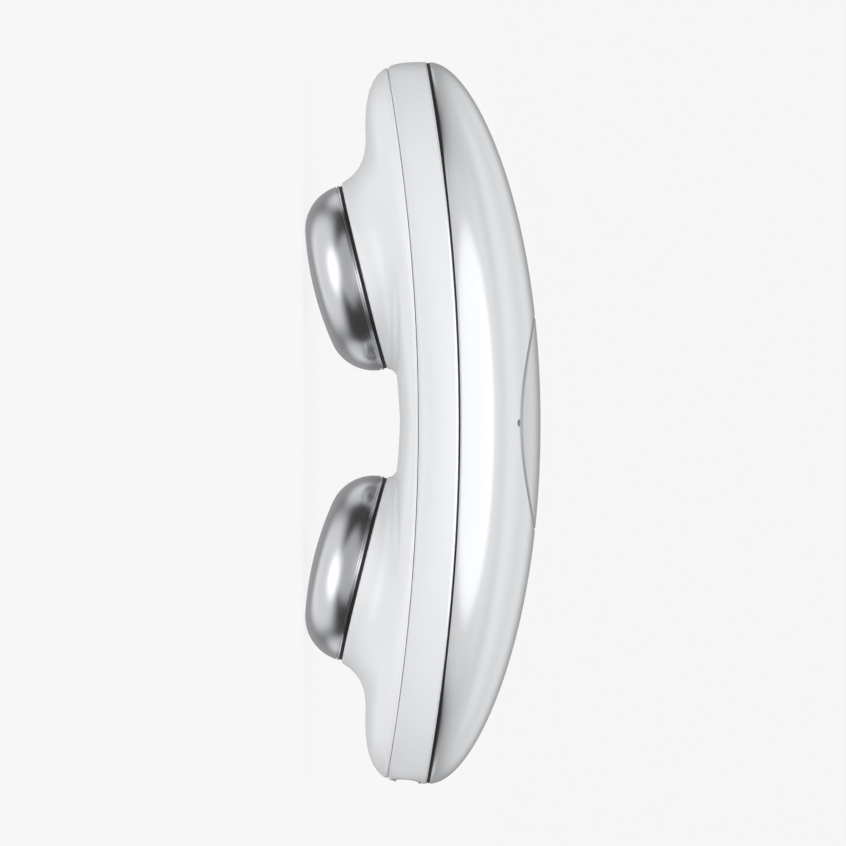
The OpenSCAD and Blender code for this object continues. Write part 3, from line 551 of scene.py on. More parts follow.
def turn(name, profile, steps):
    """Spins a closed outline of (radius, height) around Z."""
    piece = start_piece(name, lambda: bpy.ops.mesh.primitive_circle_add(vertices=len(profile)))
    set_points(piece, np.array([(r, 0.0, h) for r, h in profile]))

    def spin():
        bpy.ops.mesh.spin(steps=steps, angle=2 * math.pi, center=(0, 0, 0), axis=(0, 0, 1))

    edit(piece, spin)
    edit(piece, merge_doubles, face_outwards)
    return piece


def choose_edges(piece, chosen):
    """Selects the edges whose two ends are both marked by chosen(points), and nothing else."""
    marks = chosen(get_points(piece))
    both = marks[gather(piece.data.edges, "vertices", 2, np.int32)].all(axis=1)
    piece.data.polygons.foreach_set("select", np.zeros(len(piece.data.polygons), bool))
    piece.data.edges.foreach_set("select", both)
    piece.data.vertices.foreach_set("select", marks)
    piece.data.update()


def edit_chosen(piece, kind, *steps):
    """Runs edit-mode steps on what is selected already; kind is EDGE or FACE."""
    pick(piece)
    tools = bpy.context.tool_settings
    tools.mesh_select_mode = (False, kind == "EDGE", kind == "FACE")
    bpy.ops.object.mode_set(mode="EDIT")
    for step in steps:
        step()
    bpy.ops.object.mode_set(mode="OBJECT")
    tools.mesh_select_mode = (True, False, False)


def round_edges(piece, chosen, width, segments=4):
    """Rounds the edges whose ends are marked by chosen(points)."""
    choose_edges(piece, chosen)
    edit_chosen(piece, "EDGE", lambda: bpy.ops.mesh.bevel(offset=width, segments=segments, affect="EDGES"))


def apply(piece, kind, **settings):
    """Adds a modifier with its settings and applies it."""
    bpy.context.view_layer.objects.active = piece
    modifier = piece.modifiers.new(kind.lower(), kind)
    for name, setting in settings.items():
        setattr(modifier, name, setting)
    bpy.ops.object.modifier_apply(modifier=modifier.name)


def dress(piece, slot, body, *replaced, finish=None, smooth_below=35):
    """Smooth shading, finish and body of a finished piece; the slot names the finish when no other is
    given.
    """
    pick(piece)
    bpy.ops.object.shade_smooth_by_angle(angle=math.radians(smooth_below))
    piece.data.materials.clear()
    piece.data.materials.append(FINISHES[finish or slot])
    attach(piece, body)
    if replaced:
        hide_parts(*replaced)
    print(piece.name, "faces:", len(piece.data.polygons))


# %% [markdown]
# A hole is one closed mesh taken out of another. The Manifold solver keeps the result closed, but can
# leave points that almost touch, which are merged.

# %% Cutting
def cut_away(piece, cutter):
    """Cuts one closed mesh out of another, and deletes the cutter."""
    apply(piece, "BOOLEAN", operation="DIFFERENCE", object=cutter, solver="MANIFOLD")
    bpy.data.objects.remove(cutter)
    edit(piece, merge_doubles, dissolve_slivers)


def drill(piece, radius, low, high, y):
    """Drills an upright hole through a piece, from a low to a high Z."""
    bit = start_piece("drill", lambda: bpy.ops.mesh.primitive_cylinder_add(
        vertices=48, radius=radius, depth=high - low, location=(0, y, (low + high) / 2)))
    cut_away(piece, bit)


# %% [markdown]
# ## Back shell
# The back shell is a pearly, glossy white, painted darker than the front shell's white as painted shade.
# Its lower rim rolls inwards, most just before the two ends, and a soft grey painted shade darkens its
# colour there. The painted shade fades with the height above the seam, and is a bell along the case.

# %% Pearl white
ROLL_PLACE, ROLL_SPREAD = 46.3 * MM, 5.8 * MM
# Height and depth of the painted shade in the rolled rim.
PAINTED_SHADE_HEIGHT, PAINTED_SHADE_DEPTH = 2.6 * MM, 0.88
BELL_BASE = 2.718
PEARL = 0.16


def pearl_white():
    """Glossy pearl white, darker than the front shell's as painted shade; a soft grey painted shade
    darkens the rolled rim, most just before the two ends.
    """
    mix = Recipe(bpy.data.materials.new("glossy_shell"))
    x, z = mix.sides()
    # Painted shade: the colour darkens almost to black low on the rolled rim, most just before the two
    # ends.
    above = z - SEAM_Z + BOW_RADIUS - (BOW_RADIUS ** 2 - x * x) ** 0.5
    aside = (x.absolute() - ROLL_PLACE) * (1 / ROLL_SPREAD)
    near_end = BELL_BASE ** (aside * aside * -1.0)
    low_down = (1.0 - above * (1 / PAINTED_SHADE_HEIGHT)).clipped() ** 2.0
    painted_shade = low_down * near_end * PAINTED_SHADE_DEPTH
    cloud = mix.noise(mix.place(), *PLASTIC_CLOUD)
    # Painted shade: this white is a darker copy of the front shell's white.
    white = mix.blend(cloud, grey(0.665, 0.018), grey(0.675, 0.018))
    return finish_material(mix, {
        "Base Color": mix.blend(painted_shade, white, grey(0.03)),
        "Metallic": PEARL,
        "Roughness": 0.09 + cloud * 0.03,
        "Specular IOR Level": 1.0,
        "Normal": mix.bump(mix.noise(mix.place(), 1.2, 4.0), 0.003)})


FINISHES["glossy_shell"] = pearl_white()
print("made", FINISHES["glossy_shell"].name)

# %% [markdown]
# The shell is the crown of the case, open at the seam below and around the button above. A label grid
# runs from rim to rim, Solidify gives it its wall, and Bevel rounds the upper rim. The lower rim follows
# a flatter arc than the band, so the dark seam opens towards the ends. The grid itself rolls in there.

# %% Back cover
COLUMNS, COVER_ROWS = 288, 40
SEAM_GAP, SEAM_OPENING = 0.21 * MM, 0.17 * MM
ROLL, ROLL_GAIN = 0.1 * MM, 0.75 * MM
ROLL_SLOPE = 2.2  # height of the roll for each unit of its depth
RIM_CLOSENESS = 0.003 * MM
OPENING_ROUND = 0.28 * MM
PIPE_PLAY = 0.13 * MM


def seam_height(x):
    """Height of the back shell's lower rim over the band."""
    return SEAM_GAP + SEAM_OPENING * (x / HALF_LENGTH) ** 2


def roll_depth(x):
    """How far the rim rolls inwards: most just before the two ends."""
    return ROLL + ROLL_GAIN * np.exp(-((np.abs(x) - ROLL_PLACE) / ROLL_SPREAD) ** 2)


def roll_in(x, y, above, depth, height):
    """Moves points inwards by up to a depth where they lie less than a height above a rim."""
    left = np.clip(1 - above / height, 0, 1)
    return push_in(x, y, depth * (1 - np.sqrt(1 - left ** 2)))


def back_cover_point(u, v):
    """Round the case with u, and from the seam up to the opening with v."""
    px, py = outline(2 * math.pi * u)
    low = np.arcsin(np.clip(seam_height(HALF_LENGTH * px) / CROWN, 0, 1))
    reach = OPENING_RADIUS / np.hypot(HALF_LENGTH * px, HALF_WIDTH * py)
    top = np.arctan2((1 - reach ** PLAN_POWER) ** (1 / PLAN_POWER), reach)
    out, rise = outline(low + (top - low) * v ** ROW_PACKING)
    x, y = on_plan(px, py, out)
    z = SEAM_Z - bow_drop(x) + CROWN * rise
    x, y = roll_in(x, y, CROWN * rise - seam_height(x), roll_depth(x), ROLL_SLOPE * roll_depth(x))
    return x, y, z


def rim_marks(rim, count):
    """Marks the first count points that lie on a rim, where rim(points) is zero."""
    def marks(points):
        near = np.abs(rim(points)) < RIM_CLOSENESS
        near[count:] = False
        return near
    return marks


def opening_rim(points):
    return np.hypot(points[:, 0], points[:, 1]) - OPENING_RADIUS


back_cover = wrap("back_cover", COLUMNS, COVER_ROWS, back_cover_point)
outside = len(back_cover.data.vertices)
apply(back_cover, "SOLIDIFY", thickness=WALL, offset=-1.0)
round_edges(back_cover, rim_marks(opening_rim, outside), OPENING_ROUND)
PIPE_LOW, PIPE_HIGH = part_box("light_pipe")
PIPE_Y = (PIPE_LOW.y + PIPE_HIGH.y) / 2
PIPE_RADIUS = (PIPE_HIGH.y - PIPE_LOW.y) / 2
drill(back_cover, PIPE_RADIUS + PIPE_PLAY, PIPE_LOW.z, TOP_Z, PIPE_Y)
dress(back_cover, "white_shell", "case", "back_shell", finish="glossy_shell")

# %% [markdown]
# ## Silver band
# The band is plated: satin, with a bright edge at the seam. One finish makes both, by the depth.

# %% Band plating
BAND_ROUND = 0.42 * MM
POLISH_FADE = 0.1 * MM


def band_plating():
    """Satin silver, with the rounded edge at the seam polished bright."""
    mix = Recipe(bpy.data.materials.new("plated_band"))
    x, z = mix.sides()
    below = SEAM_Z - BOW_RADIUS + (BOW_RADIUS ** 2 - x * x) ** 0.5 - z
    polish = ((BAND_ROUND - below) * (1 / POLISH_FADE)).clipped()
    cloud = mix.noise(mix.place(), *METAL_CLOUD)
    return finish_material(mix, {
        "Base Color": mix.blend(cloud, grey(0.86, 0.016), grey(0.88, 0.016)),
        "Metallic": polish * 0.3 + 0.02,
        "Roughness": 0.28 + cloud * 0.05 - polish * 0.16,
        "Normal": mix.bump(mix.noise(mix.place(), *METAL_MARKS), 0.004)})


FINISHES["plated_band"] = band_plating()
print("made", FINISHES["plated_band"].name)

# %% [markdown]
# The band is the top of the belly, wrapped like the back shell and given its wall. Its rim at the seam
# is bevelled. Its lower rim curls in, as the front shell's does, so a fine dark line shows between them.

# %% Band
BAND_ROWS = 18
TRIM_ROUND, TRIM_DEPTH = 0.42 * MM, 0.3 * MM


def trim_inset(near):
    """How far the two rims at the trim line curl inwards, by how near to the line they are."""
    return TRIM_DEPTH * np.clip(1 - near / TRIM_ROUND, 0, 1) ** 2


def band_point(u, v):
    """Round the case with u, and from the seam down to the trim line with v."""
    px, py = outline(2 * math.pi * u)
    depth = BAND_HEIGHT * (1 - (1 - v) ** ROW_PACKING)
    out = reach_out(px, depth)
    x, y = on_plan(px, py, out)
    return x, y, SEAM_Z - bow_drop(x) - depth


def band_depth(points):
    return SEAM_Z - bow_drop(points[:, 0]) - points[:, 2]


band = wrap("silver_band", COLUMNS, BAND_ROWS, band_point)
outside = len(band.data.vertices)
apply(band, "SOLIDIFY", thickness=WALL, offset=-1.0)
points = get_points(band)
curl = trim_inset(BAND_HEIGHT - band_depth(points[:outside]))
points[:outside, :2] = np.stack(push_in(points[:outside, 0], points[:outside, 1], curl), axis=1)
set_points(band, points)
round_edges(band, rim_marks(band_depth, outside), BAND_ROUND, segments=6)
print("band with its rim rounded, points:", len(band.data.vertices))

# %% [markdown]
# The charging port is a slot with round ends. Its cutter is a rod that is extruded three times, and is
# wider in its last part, so that the cut leaves a small chamfer.

# %% Charging port
PORT_LOW, PORT_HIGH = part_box("port_liner")
PORT_Z = (PORT_LOW.z + PORT_HIGH.z) / 2
PORT_PLAY, PORT_CHAMFER = 0.06 * MM, 0.1 * MM
HALF_PORT = (PORT_HIGH.z - PORT_LOW.z) / 2
PORT_STRAIGHT = (PORT_HIGH.y - PORT_LOW.y) / 2 - HALF_PORT
PORT_COLUMNS, CORNER_COLUMNS = 64, 10
CUTTER_INSIDE, CUTTER_OUTSIDE = 9 * MM, 2 * MM


def band_end(y, z):
    """How far the band's outer face reaches towards the port's end of the case."""
    x = HALF_LENGTH
    for _ in range(SETTLING_ROUNDS):
        deep = (SEAM_Z - bow_drop(x) - z) / belly(x)
        out = (1 - deep ** BELLY_POWER) ** (1 / BELLY_POWER)
        x = HALF_LENGTH * out * (1 - (np.abs(y) / (HALF_WIDTH * out)) ** PLAN_POWER) ** (1 / PLAN_POWER)
    return x


def slot_outline(u, grow):
    """A point (y, z) of the port's outline, which has two straight sides and two half circles."""
    corner = CORNER_COLUMNS / PORT_COLUMNS
    stops = [0, corner, 0.5 - corner, 0.5 + corner, 1 - corner, 1]
    angle = np.radians(np.interp(u, stops, [0, 90, 90, 270, 270, 360]))
    side = np.interp(u, stops, [1, 1, -1, -1, 1, 1])
    radius = HALF_PORT + grow
    return PORT_STRAIGHT * side + radius * np.cos(angle), PORT_Z + radius * np.sin(angle)


def port_cutter():
    """A rod of the port's outline along X, which flares where it leaves the band."""
    rod = start_piece("port_cutter", lambda: bpy.ops.mesh.primitive_circle_add(
        vertices=PORT_COLUMNS, radius=1, fill_type="NGON"))
    flat = get_points(rod)
    u = np.arctan2(flat[:, 1], flat[:, 0]) / (2 * math.pi) % 1
    edit(rod, *[lambda: bpy.ops.mesh.extrude_region_move(TRANSFORM_OT_translate={"value": (0, 0, 1)})] * 3)

    def ring(grow, reach):
        y, z = slot_outline(u, grow)
        return np.stack([reach(y, z), y, z], axis=1)

    wide = PORT_PLAY + 2 * PORT_CHAMFER
    set_points(rod, np.concatenate([
        ring(PORT_PLAY, lambda y, z: np.full_like(y, HALF_LENGTH - CUTTER_INSIDE)),
        ring(PORT_PLAY, lambda y, z: band_end(y, z) - PORT_CHAMFER),
        ring(wide, lambda y, z: band_end(y, z) + PORT_CHAMFER),
        ring(wide, lambda y, z: np.full_like(y, HALF_LENGTH + CUTTER_OUTSIDE))]))
    return rod


cut_away(band, port_cutter())
print("band with its port, points:", len(band.data.vertices))
dress(band, "silver_band", "case", "mid_band", finish="plated_band")

# %% [markdown]
# A grey liner frames the port. It is wrapped round the slot, and its face follows the band's bend.

# %% Port liner
LINER_WALL, LINER_DEPTH, LINER_EDGE = 0.5 * MM, 0.04 * MM, 0.12 * MM
LINER_ROWS = 6


def liner_point(u, v):
    """Round the port with u, and round the liner's section with v, from its back."""
    corner = np.rint(v * LINER_ROWS).astype(int) % LINER_ROWS
    grow = np.choose(corner, [0.0, 0.0, -LINER_EDGE, LINER_EDGE - LINER_WALL, -LINER_WALL, -LINER_WALL])
    sunk = np.choose(corner, [0.0, LINER_EDGE, 0.0, 0.0, LINER_EDGE, 0.0]) + LINER_DEPTH
    y, z = slot_outline(u, grow)
    back = (corner == 0) | (corner == 5)
    return np.where(back, PORT_LOW.x, band_end(y, z) - sunk), y, z


liner = wrap("port_rim", PORT_COLUMNS, LINER_ROWS, liner_point)
dress(liner, "grey_liner", "case", "port_liner", smooth_below=30)

# %% [markdown]
# ## Seam seal
# A dark rubber ring fills the seam between the band and the back shell, and stands back a little from
# both. Four rows of points around its section are enough, because almost all of it is hidden.

# %% Seam seal
SEAL_INSET, SEAL_DEPTH = 0.14 * MM, 1.3 * MM
SEAL_BITE = 0.02 * MM
SEAL_ROWS = 4


def seam_seal_point(u, v):
    """Round the case with u, and round the seal's section with v."""
    px, py = outline(2 * math.pi * u)
    x, y = HALF_LENGTH * px, HALF_WIDTH * py
    corner = np.rint(v * SEAL_ROWS).astype(int) % SEAL_ROWS
    inset = np.where((corner == 0) | (corner == 3), SEAL_INSET, SEAL_INSET + SEAL_DEPTH)
    height = np.where(corner < 2, -SEAL_BITE, seam_height(x) + SEAL_BITE)
    z = SEAM_Z - bow_drop(x) + height
    return *push_in(x, y, inset), z


seam_seal = wrap("seam_seal", COLUMNS, SEAL_ROWS, seam_seal_point)
dress(seam_seal, "dark_seal", "case", "seam_gasket")

# %% [markdown]
# ## Button
# The button carries on the crown's surface. A flange under the back shell holds it in, and its stem
# reaches the switch. All of it is round, so one outline is turned, and its top is lifted onto the crown.
# A notch in the flange makes room for the light pipe, and keeps the button from turning.

# %% Button
STEM_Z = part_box("button_cap")[0].z
FLANGE_Z = STEM_Z + 1.15 * MM
FLANGE_RADIUS, FLANGE_THICKNESS = 17.6 * MM, 1.0 * MM
SEAT_RADIUS, SEAT_HEIGHT, STEM_RADIUS = 6.4 * MM, 2.2 * MM, 2.4 * MM
FACE_THICKNESS, SKIRT_WALL, BUTTON_ROUND = 1.6 * MM, 1.2 * MM, 0.3 * MM
FACE_RINGS, FACE_SHARE = 16, 0.98
ROUND_STEPS = 160


def button_profile():
    """From the middle of the face over its edge, down the skirt and back to the stem's foot."""
    top, roof = TOP_Z, TOP_Z - FACE_THICKNESS
    skirt, inner = FLANGE_Z + FLANGE_THICKNESS, BUTTON_RADIUS - SKIRT_WALL
    edge = BUTTON_ROUND
    crown = [(BUTTON_RADIUS * k / FACE_RINGS * FACE_SHARE, top) for k in range(FACE_RINGS)]
    round_edge = [(BUTTON_RADIUS - edge + edge * math.sin(a), top - edge + edge * math.cos(a))
                  for a in np.radians([0, 22, 45, 67, 90])]
    sides = [(BUTTON_RADIUS, skirt), (FLANGE_RADIUS, skirt), (FLANGE_RADIUS, FLANGE_Z), (inner, FLANGE_Z)]
    under = [(inner * k / 4, roof) for k in (4, 3, 2)] + [(SEAT_RADIUS, roof)]
    pad_seat = [(SEAT_RADIUS, STEM_Z + SEAT_HEIGHT), (STEM_RADIUS, STEM_Z + SEAT_HEIGHT)]
    stem = [(STEM_RADIUS, STEM_Z), (0.0, STEM_Z)]
    return crown + round_edge + sides + under + pad_seat + stem


def lift_to_crown(piece, depth):
    """Lifts the top of a piece, down to a depth, onto the crown."""
    points = get_points(piece)
    high = points[:, 2] > TOP_Z - depth
    points[high, 2] += (crown_height(points[:, 0], points[:, 1]) - TOP_Z)[high]
    set_points(piece, points)


button = turn("button_face", button_profile(), ROUND_STEPS)
lift_to_crown(button, 2 * MM)
NOTCH_PLAY, NOTCH_BELOW, NOTCH_ABOVE = 0.55 * MM, 0.5 * MM, 1.3 * MM
drill(button, PIPE_RADIUS + NOTCH_PLAY, FLANGE_Z - NOTCH_BELOW, FLANGE_Z + NOTCH_ABOVE, PIPE_Y)
dress(button, "button_white", "button", "button_cap")

# %% [markdown]
# ## Front shell
# The front shell is the belly with two pods that flare out of it. A flare is hard to wrap, so the belly
# and the pods start as a ball and two cylinders, which Remesh fuses into one skin of small squares. The
# skin is then drawn onto a blended surface. First come the places of the pods.

# %% Pods
POD_SPACING, POD_TILT = 45.1 * MM, math.radians(13.8)
DOME_RADIUS, DOME_HEIGHT, CROWN_RADIUS, EDGE_RADIUS = 14.65 * MM, 7.6 * MM, 50 * MM, 7 * MM
SEAL, POD_FLOOR = 0.5 * MM, 2.0 * MM
CROWN_T = CROWN_RADIUS - DOME_HEIGHT
EDGE_R = DOME_RADIUS - EDGE_RADIUS
EDGE_T = CROWN_T - math.sqrt((CROWN_RADIUS - EDGE_RADIUS) ** 2 - EDGE_R ** 2)
POD_Z = EDGE_RADIUS + EDGE_R * math.sin(POD_TILT) - EDGE_T * math.cos(POD_TILT)


def pod_axes(side):
    """Middle of a pod's seat, its outward direction and its direction into the case."""
    middle = np.array([side * POD_SPACING / 2, 0, POD_Z])
    out = np.array([side * math.cos(POD_TILT), 0, -math.sin(POD_TILT)])
    inward = np.array([side * math.sin(POD_TILT), 0, math.cos(POD_TILT)])
    return middle, out, inward


def pod_place(points, side):
    """Distance from a pod's axis, height above its seat, and how far outwards a point lies."""
    middle, out, inward = pod_axes(side)
    away = points - middle
    along, lateral, height = away @ out, away[:, 1], away @ inward
    return np.hypot(along, lateral), height, along


print("middle of a pod's seat, mm:", [round(float(v) / MM, 2) for v in pod_axes(1)[0]])

# %% [markdown]
# The belly and each pod are written as a distance: below zero inside, zero on the surface. A smooth
# minimum of the two gives a fillet that is wide on the outer side of a pod and tight between the pods,
# which a bevel can't give. Points are moved onto it along its slope.

# %% Blended surface
FLARE_OUT, FLARE_IN = 6.8 * MM, 2.2 * MM
PROBE = 0.01 * MM
FARTHEST_MOVE, LEAST_SLOPE = 1.0 * MM, 0.05


def belly_size(points, inset):
    """Below 1 inside the belly, 1 on it and above 1 outside."""
    x, y, z = points.T
    height = z - (SEAM_Z - bow_drop(x))
    wide = plan_size(x, y, inset) ** (BELLY_POWER / PLAN_POWER)
    deep = np.abs(height) / (belly(x) - inset)
    return (wide + deep ** BELLY_POWER) ** (1 / BELLY_POWER)


def blended(points, inset):
    """Below zero inside the front shell's blank, zero on its skin, roughly in metres near it."""
    size = belly_size(points, inset)
    slope = np.zeros_like(size)
    for shift in PROBE * np.eye(3):
        slope += ((belly_size(points + shift, inset) - size) / PROBE) ** 2
    distance = (size - 1) / np.sqrt(np.maximum(slope, 1.0))
    for side in (-1, 1):
        radius, height, along = pod_place(points, side)
        pod = radius - (DOME_RADIUS - inset)
        way = np.clip(along / DOME_RADIUS, -1, 1) * 0.5 + 0.5
        reach = FLARE_IN + (FLARE_OUT - FLARE_IN) * way
        mix = np.clip(0.5 + 0.5 * (pod - distance) / reach, 0, 1)
        distance = pod + (distance - pod) * mix - reach * mix * (1 - mix)
    return distance


def draw_onto(piece, inset, rounds):
    """Moves every point of a piece onto the blended surface."""
    points = get_points(piece)
    for _ in range(rounds):
        here = blended(points, inset)
        slope = np.zeros_like(points)
        for axis, shift in enumerate(PROBE * np.eye(3)):
            slope[:, axis] = (blended(points + shift, inset) - here) / PROBE
        move = here[:, None] * slope / np.maximum((slope ** 2).sum(1), LEAST_SLOPE)[:, None]
        size = np.linalg.norm(move, axis=1, keepdims=True)
        points -= move * np.minimum(1, FARTHEST_MOVE / np.maximum(size, 1e-9))
    set_points(piece, points)


print("flare on the outer and the inner side of a pod, mm:", FLARE_OUT / MM, FLARE_IN / MM)

# %% [markdown]
# A skin is cut flat at each pod, and level at the top once the case's bow is straightened. Rings cut
# into the pod's rim are rolled inwards as its rounding.

# %% Skins of the front shell
SKIN_GRAIN = 0.5 * MM
TRIM_GAP = 0.1 * MM
FRONT_TOP = SEAM_Z - BAND_HEIGHT - TRIM_GAP
BALL_DEPTH = 11 * MM
POD_LENGTH, POD_START = 12 * MM, 1.5 * MM
POD_ROUND, ROLL_REACH = 0.3 * MM, 1.5 * MM


def join(piece, other):
    """Joins a second piece into the first."""
    pick(piece)
    other.select_set(True)
    bpy.ops.object.join()


def bow(piece, way):
    """Straightens a piece along the case's arc with way = 1, and bends it back with way = -1."""
    points = get_points(piece)
    points[:, 2] += way * bow_drop(points[:, 0])
    set_points(piece, points)


def choose_faces(piece, chosen):
    """Selects the faces whose middles chosen(middles) marks, and nothing else."""
    marks = chosen(gather(piece.data.polygons, "center", 3))
    for kind in (piece.data.vertices, piece.data.edges):
        kind.foreach_set("select", np.zeros(len(kind), bool))
    piece.data.polygons.foreach_set("select", marks)
    piece.data.update()


# Points nearer to the plane than this are taken as lying on it; the default is too coarse.
CUT_CLOSENESS = 0.000001 * MM
NEAR_POD_WIDTH, NEAR_POD_HEIGHT = 1.2 * MM, 1.5 * MM


def cut(point, normal, fill):
    """A bisect that drops what lies on the side that the normal points to."""
    return lambda: bpy.ops.mesh.bisect(plane_co=tuple(point), plane_no=tuple(normal), use_fill=fill,
                                       clear_outer=True, threshold=CUT_CLOSENESS)


def roll_pod(piece, side):
    """Rolls the rim of a pod inwards over the height of its rounding."""
    middle, _, inward = pod_axes(side)
    points = get_points(piece)
    radius, height, _ = pod_place(points, side)
    below = np.clip(SEAL + POD_ROUND - height, 0, POD_ROUND) * (radius < DOME_RADIUS + ROLL_REACH)
    inset = POD_ROUND - np.sqrt(POD_ROUND ** 2 - below ** 2)
    away = points - middle - height[:, None] * inward
    set_points(piece, points - away * (inset / radius)[:, None])


def blank(name, inset, seat):
    """A ball and two cylinders, fused and drawn onto the blended surface."""
    body = start_piece(name, lambda: bpy.ops.mesh.primitive_uv_sphere_add(
        segments=128, ring_count=64, radius=1))
    points = get_points(body) * (HALF_LENGTH - inset, HALF_WIDTH - inset, BALL_DEPTH - inset)
    points[:, 2] += SEAM_Z
    set_points(body, points)
    bow(body, -1)
    for side in (-1, 1):
        middle, _, inward = pod_axes(side)
        place = middle + inward * (POD_LENGTH / 2 + seat - POD_START)
        pod = start_piece("pod", lambda: bpy.ops.mesh.primitive_cylinder_add(
            vertices=96, radius=DOME_RADIUS - inset, depth=POD_LENGTH, location=tuple(place),
            rotation=(0, side * POD_TILT, 0)))
        join(body, pod)
    apply(body, "REMESH", mode="VOXEL", voxel_size=SKIN_GRAIN)
    draw_onto(body, inset, 8)
    edit(body, lambda: bpy.ops.mesh.vertices_smooth(factor=0.5, repeat=4))
    draw_onto(body, inset, 4)
    return body


def trim_pod(body, side, seat, rims):
    """Cuts a pod flat at its seat, cuts rings above it at shares of its rounding, and rolls them in."""
    middle, _, inward = pod_axes(side)

    def near_pod(middles):
        radius, height, _ = pod_place(middles, side)
        return (radius < DOME_RADIUS + NEAR_POD_WIDTH) & (height < seat + NEAR_POD_HEIGHT)

    choose_faces(body, near_pod)
    edit_chosen(body, "FACE", cut(middle + inward * seat, -inward, True))
    for share in rims:
        choose_faces(body, near_pod)
        level = middle + inward * (seat + POD_ROUND * share)
        edit_chosen(body, "FACE", lambda: bpy.ops.mesh.bisect(
            plane_co=tuple(level), plane_no=tuple(inward), threshold=CUT_CLOSENESS))
    if rims:
        roll_pod(body, side)


def skin(name, inset, seat, top, rims=()):
    """One skin of the front shell, cut at the pods and at the top, with the case straightened."""
    body = blank(name, inset, seat)
    for side in (-1, 1):
        trim_pod(body, side, seat, rims)
    bow(body, 1)
    edit(body, cut((0, 0, top), (0, 0, 1), False))
    print(name, "points:", len(body.data.vertices))
    return body


# %% [markdown]
# Cut squares would leave the rim ragged where it meets the band. So the skin stops a little lower, a
# wrapped strip with the band's own columns makes the rest, and Bridge joins them. The lining is turned
# inside out and bridged at the top, which makes one closed wall.

# %% Front case
COLLAR, COLLAR_GAP = 0.9 * MM, 0.12 * MM
COLLAR_ROWS = 10
LEVEL_CLOSENESS = 0.0002 * MM
POD_RINGS = (1.0, 0.6, 0.3, 0.1)  # shares of the height of a pod's rounding


def collar_point(u, v):
    """The front shell's uppermost strip, with the case straightened."""
    px, py = outline(2 * math.pi * u)
    near = (COLLAR - COLLAR_GAP) * v ** ROW_PACKING
    out = reach_out(px, SEAM_Z - FRONT_TOP + near)
    x, y = push_in(*on_plan(px, py, out), trim_inset(near))
    return x, y, FRONT_TOP - near


def between_strip_and_skin(points):
    low, high = FRONT_TOP - COLLAR, FRONT_TOP - COLLAR + COLLAR_GAP
    return (points[:, 2] > low - LEVEL_CLOSENESS) & (points[:, 2] < high + LEVEL_CLOSENESS)


front = skin("front_case", 0.0, SEAL, FRONT_TOP - COLLAR, POD_RINGS)
lining = skin("lining", WALL, SEAL + POD_FLOOR, FRONT_TOP)
collar = wrap("collar", COLUMNS, COLLAR_ROWS, collar_point)
edit(front, face_outwards)
edit(lining, face_outwards, bpy.ops.mesh.flip_normals)
join(front, collar)
choose_edges(front, between_strip_and_skin)
edit_chosen(front, "EDGE", bpy.ops.mesh.bridge_edge_loops)
join(front, lining)
edit(front, lambda: bpy.ops.mesh.select_all(action="DESELECT"),
     lambda: bpy.ops.mesh.select_non_manifold(extend=False, use_wire=False, use_multi_face=False,
                                              use_non_contiguous=False, use_verts=False),
     bpy.ops.mesh.bridge_edge_loops)
edit(front, merge_doubles, dissolve_slivers, face_outwards)
bow(front, -1)
dress(front, "white_shell", "case", "front_shell")

# %% [markdown]
# ## Domes
# Each dome is turned from one outline: a flat crown that rolls into a tight edge, a thin lip at its
# foot, and inside it the boss and the stud that hold it. A dark ring seals it on its pod.

# %% Domes
DOME_WALL = 1.3 * MM
LIP, GROOVE, NOTCH, NICK = 0.32 * MM, 0.52 * MM, 0.22 * MM, 0.02 * MM
LIP_ROUND = 0.06 * MM
BOSS_RADIUS, STUD_RADIUS, STUD_TOP = 4 * MM, 1.5 * MM, 6.2 * MM
BOSS_TURN = -85.5  # degrees, where the inside meets the boss


def arc(centre, radius, first, last, count):
    """Points of an arc in (radius, height), with angles in degrees."""
    return [(centre[0] + radius * math.cos(a), centre[1] + radius * math.sin(a))
            for a in np.radians(np.linspace(first, last, count))]


def dome_profile():
    """From the crown's middle over the edge to the foot, and back inside to the stud's end."""
    edge_turn = math.degrees(math.atan2(EDGE_T - CROWN_T, EDGE_R))
    crown = arc((0, CROWN_T), CROWN_RADIUS, -90, edge_turn, 14)
    crown[0] = (0.0, crown[0][1])
    edge = arc((EDGE_R, EDGE_T), EDGE_RADIUS, edge_turn, 0, 18)[1:]
    edge = [point for point in edge if point[1] < -GROOVE]
    foot = [(DOME_RADIUS - NICK, -GROOVE), (DOME_RADIUS - NOTCH, -GROOVE + NICK),
            (DOME_RADIUS - NOTCH, -LIP - NICK), (DOME_RADIUS - LIP_ROUND, -LIP),
            (DOME_RADIUS, -LIP + LIP_ROUND), (DOME_RADIUS, 0.0), (DOME_RADIUS - DOME_WALL, 0.0)]
    inside = arc((EDGE_R, EDGE_T), EDGE_RADIUS - DOME_WALL, 0, edge_turn, 10)
    roof = arc((0, CROWN_T), CROWN_RADIUS - DOME_WALL, edge_turn, BOSS_TURN, 6)[1:]
    boss = [(BOSS_RADIUS, roof[-1][1]), (BOSS_RADIUS, SEAL)]
    stud = [(STUD_RADIUS, SEAL), (STUD_RADIUS, STUD_TOP), (0.0, STUD_TOP)]
    return crown + edge + foot + inside + roof + boss + stud


def seat_on_pod(piece, side):
    """Moves a piece turned about Z onto a pod's tilted seat."""
    middle, out, inward = pod_axes(side)
    lateral = np.array([0, side, 0])
    points = get_points(piece)
    moved = middle + points[:, :1] * out + points[:, 1:2] * lateral + points[:, 2:] * inward
    set_points(piece, moved)
    edit(piece, face_outwards)


SEAL_WIDTH, BULGE_INSET = 1.4 * MM, 0.34 * MM


def seal_profile():
    """A flat ring whose outer edge swells almost to the dome's side."""
    bulge = arc((DOME_RADIUS - BULGE_INSET, SEAL / 2), SEAL / 2, -90, 90, 7)
    inner = DOME_RADIUS - SEAL_WIDTH
    return bulge + [(inner, SEAL), (inner, 0.0)]


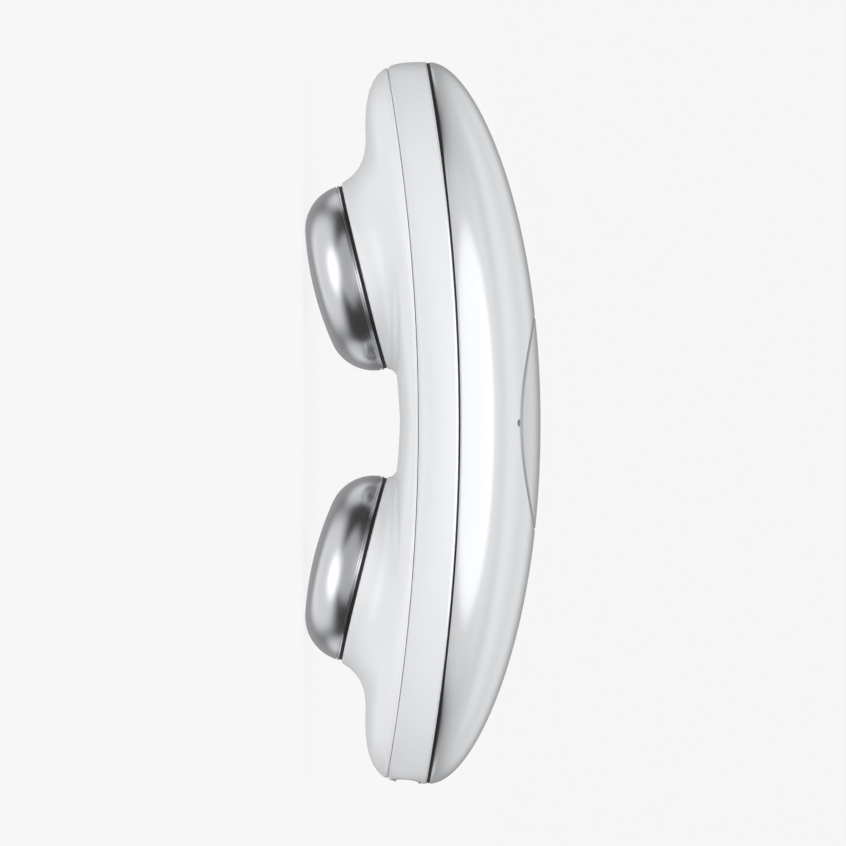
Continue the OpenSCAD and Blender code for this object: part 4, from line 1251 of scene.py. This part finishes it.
for side, name in ((-1, "left"), (1, "right")):
    seal = turn("dome_seal_" + name, seal_profile(), ROUND_STEPS)
    seat_on_pod(seal, side)
    dress(seal, "dark_seal", "case", "electrode_gasket_" + name)
    dome = turn("dome_" + name, dome_profile(), ROUND_STEPS)
    seat_on_pod(dome, side)
    dress(dome, "dome_metal", "case", "electrode_dome_" + name, smooth_below=40)

# %% [markdown]
# ## Light window
# A thin light pipe ends in the crown beside the button. It is a short turned rod with a slightly domed
# end, which is lifted onto the crown as the button's is.

# %% Light window
PIPE_STEPS = 48
LENS = ((0.0, 0.0), (0.6, 0.01), (0.92, 0.06), (1.0, 0.14))  # share of the radius, depth in mm

foot = PIPE_LOW.z
lens = [(PIPE_RADIUS * share, TOP_Z - depth * MM) for share, depth in LENS]
pipe = turn("light_window", lens + [(PIPE_RADIUS, foot), (0.0, foot)], PIPE_STEPS)
points = get_points(pipe)
points[:, 1] += PIPE_Y
set_points(pipe, points)
lift_to_crown(pipe, 1 * MM)
dress(pipe, "light_clear", "case", "light_pipe")

# %% [markdown]
# ## Return pad
# Under the button lies a soft silicone ring that pushes it back up. Its sides bulge a little, and it is
# squeezed when the button goes down. It stands on the guide plate.

# %% Return pad
PAD_LOW, PAD_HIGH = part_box("return_pad")
PAD_OUTER, PAD_WALL = PAD_HIGH.x, 2.4 * MM
PAD_HEIGHT = PAD_HIGH.z - PAD_LOW.z
PAD_BULGE, PAD_GROOVE, HALF_GROOVE = 0.25 * MM, 0.2 * MM, 0.3 * MM
PAD_STEPS = 96


def pad_profile():
    """A ring with a bulging outside and inside, and a groove in its top and bottom."""
    half, middle = PAD_HEIGHT / 2, PAD_LOW.z + PAD_HEIGHT / 2
    turns = np.radians(np.linspace(-70, 70, 9))
    outer = [(PAD_OUTER - PAD_BULGE + PAD_BULGE * math.cos(a),
              middle + half * math.sin(a) / math.sin(turns[-1])) for a in turns]
    inner = [(2 * PAD_OUTER - PAD_WALL - r, 2 * middle - z) for r, z in outer]
    ring = PAD_OUTER - PAD_WALL / 2
    top = [(ring + HALF_GROOVE, PAD_HIGH.z), (ring, PAD_HIGH.z - PAD_GROOVE),
           (ring - HALF_GROOVE, PAD_HIGH.z)]
    bottom = [(2 * ring - r, 2 * middle - z) for r, z in top]
    return outer + top + inner + bottom


pad = turn("return_ring", pad_profile(), PAD_STEPS)
dress(pad, "return_silicone", "case", "return_pad")
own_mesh(pad)
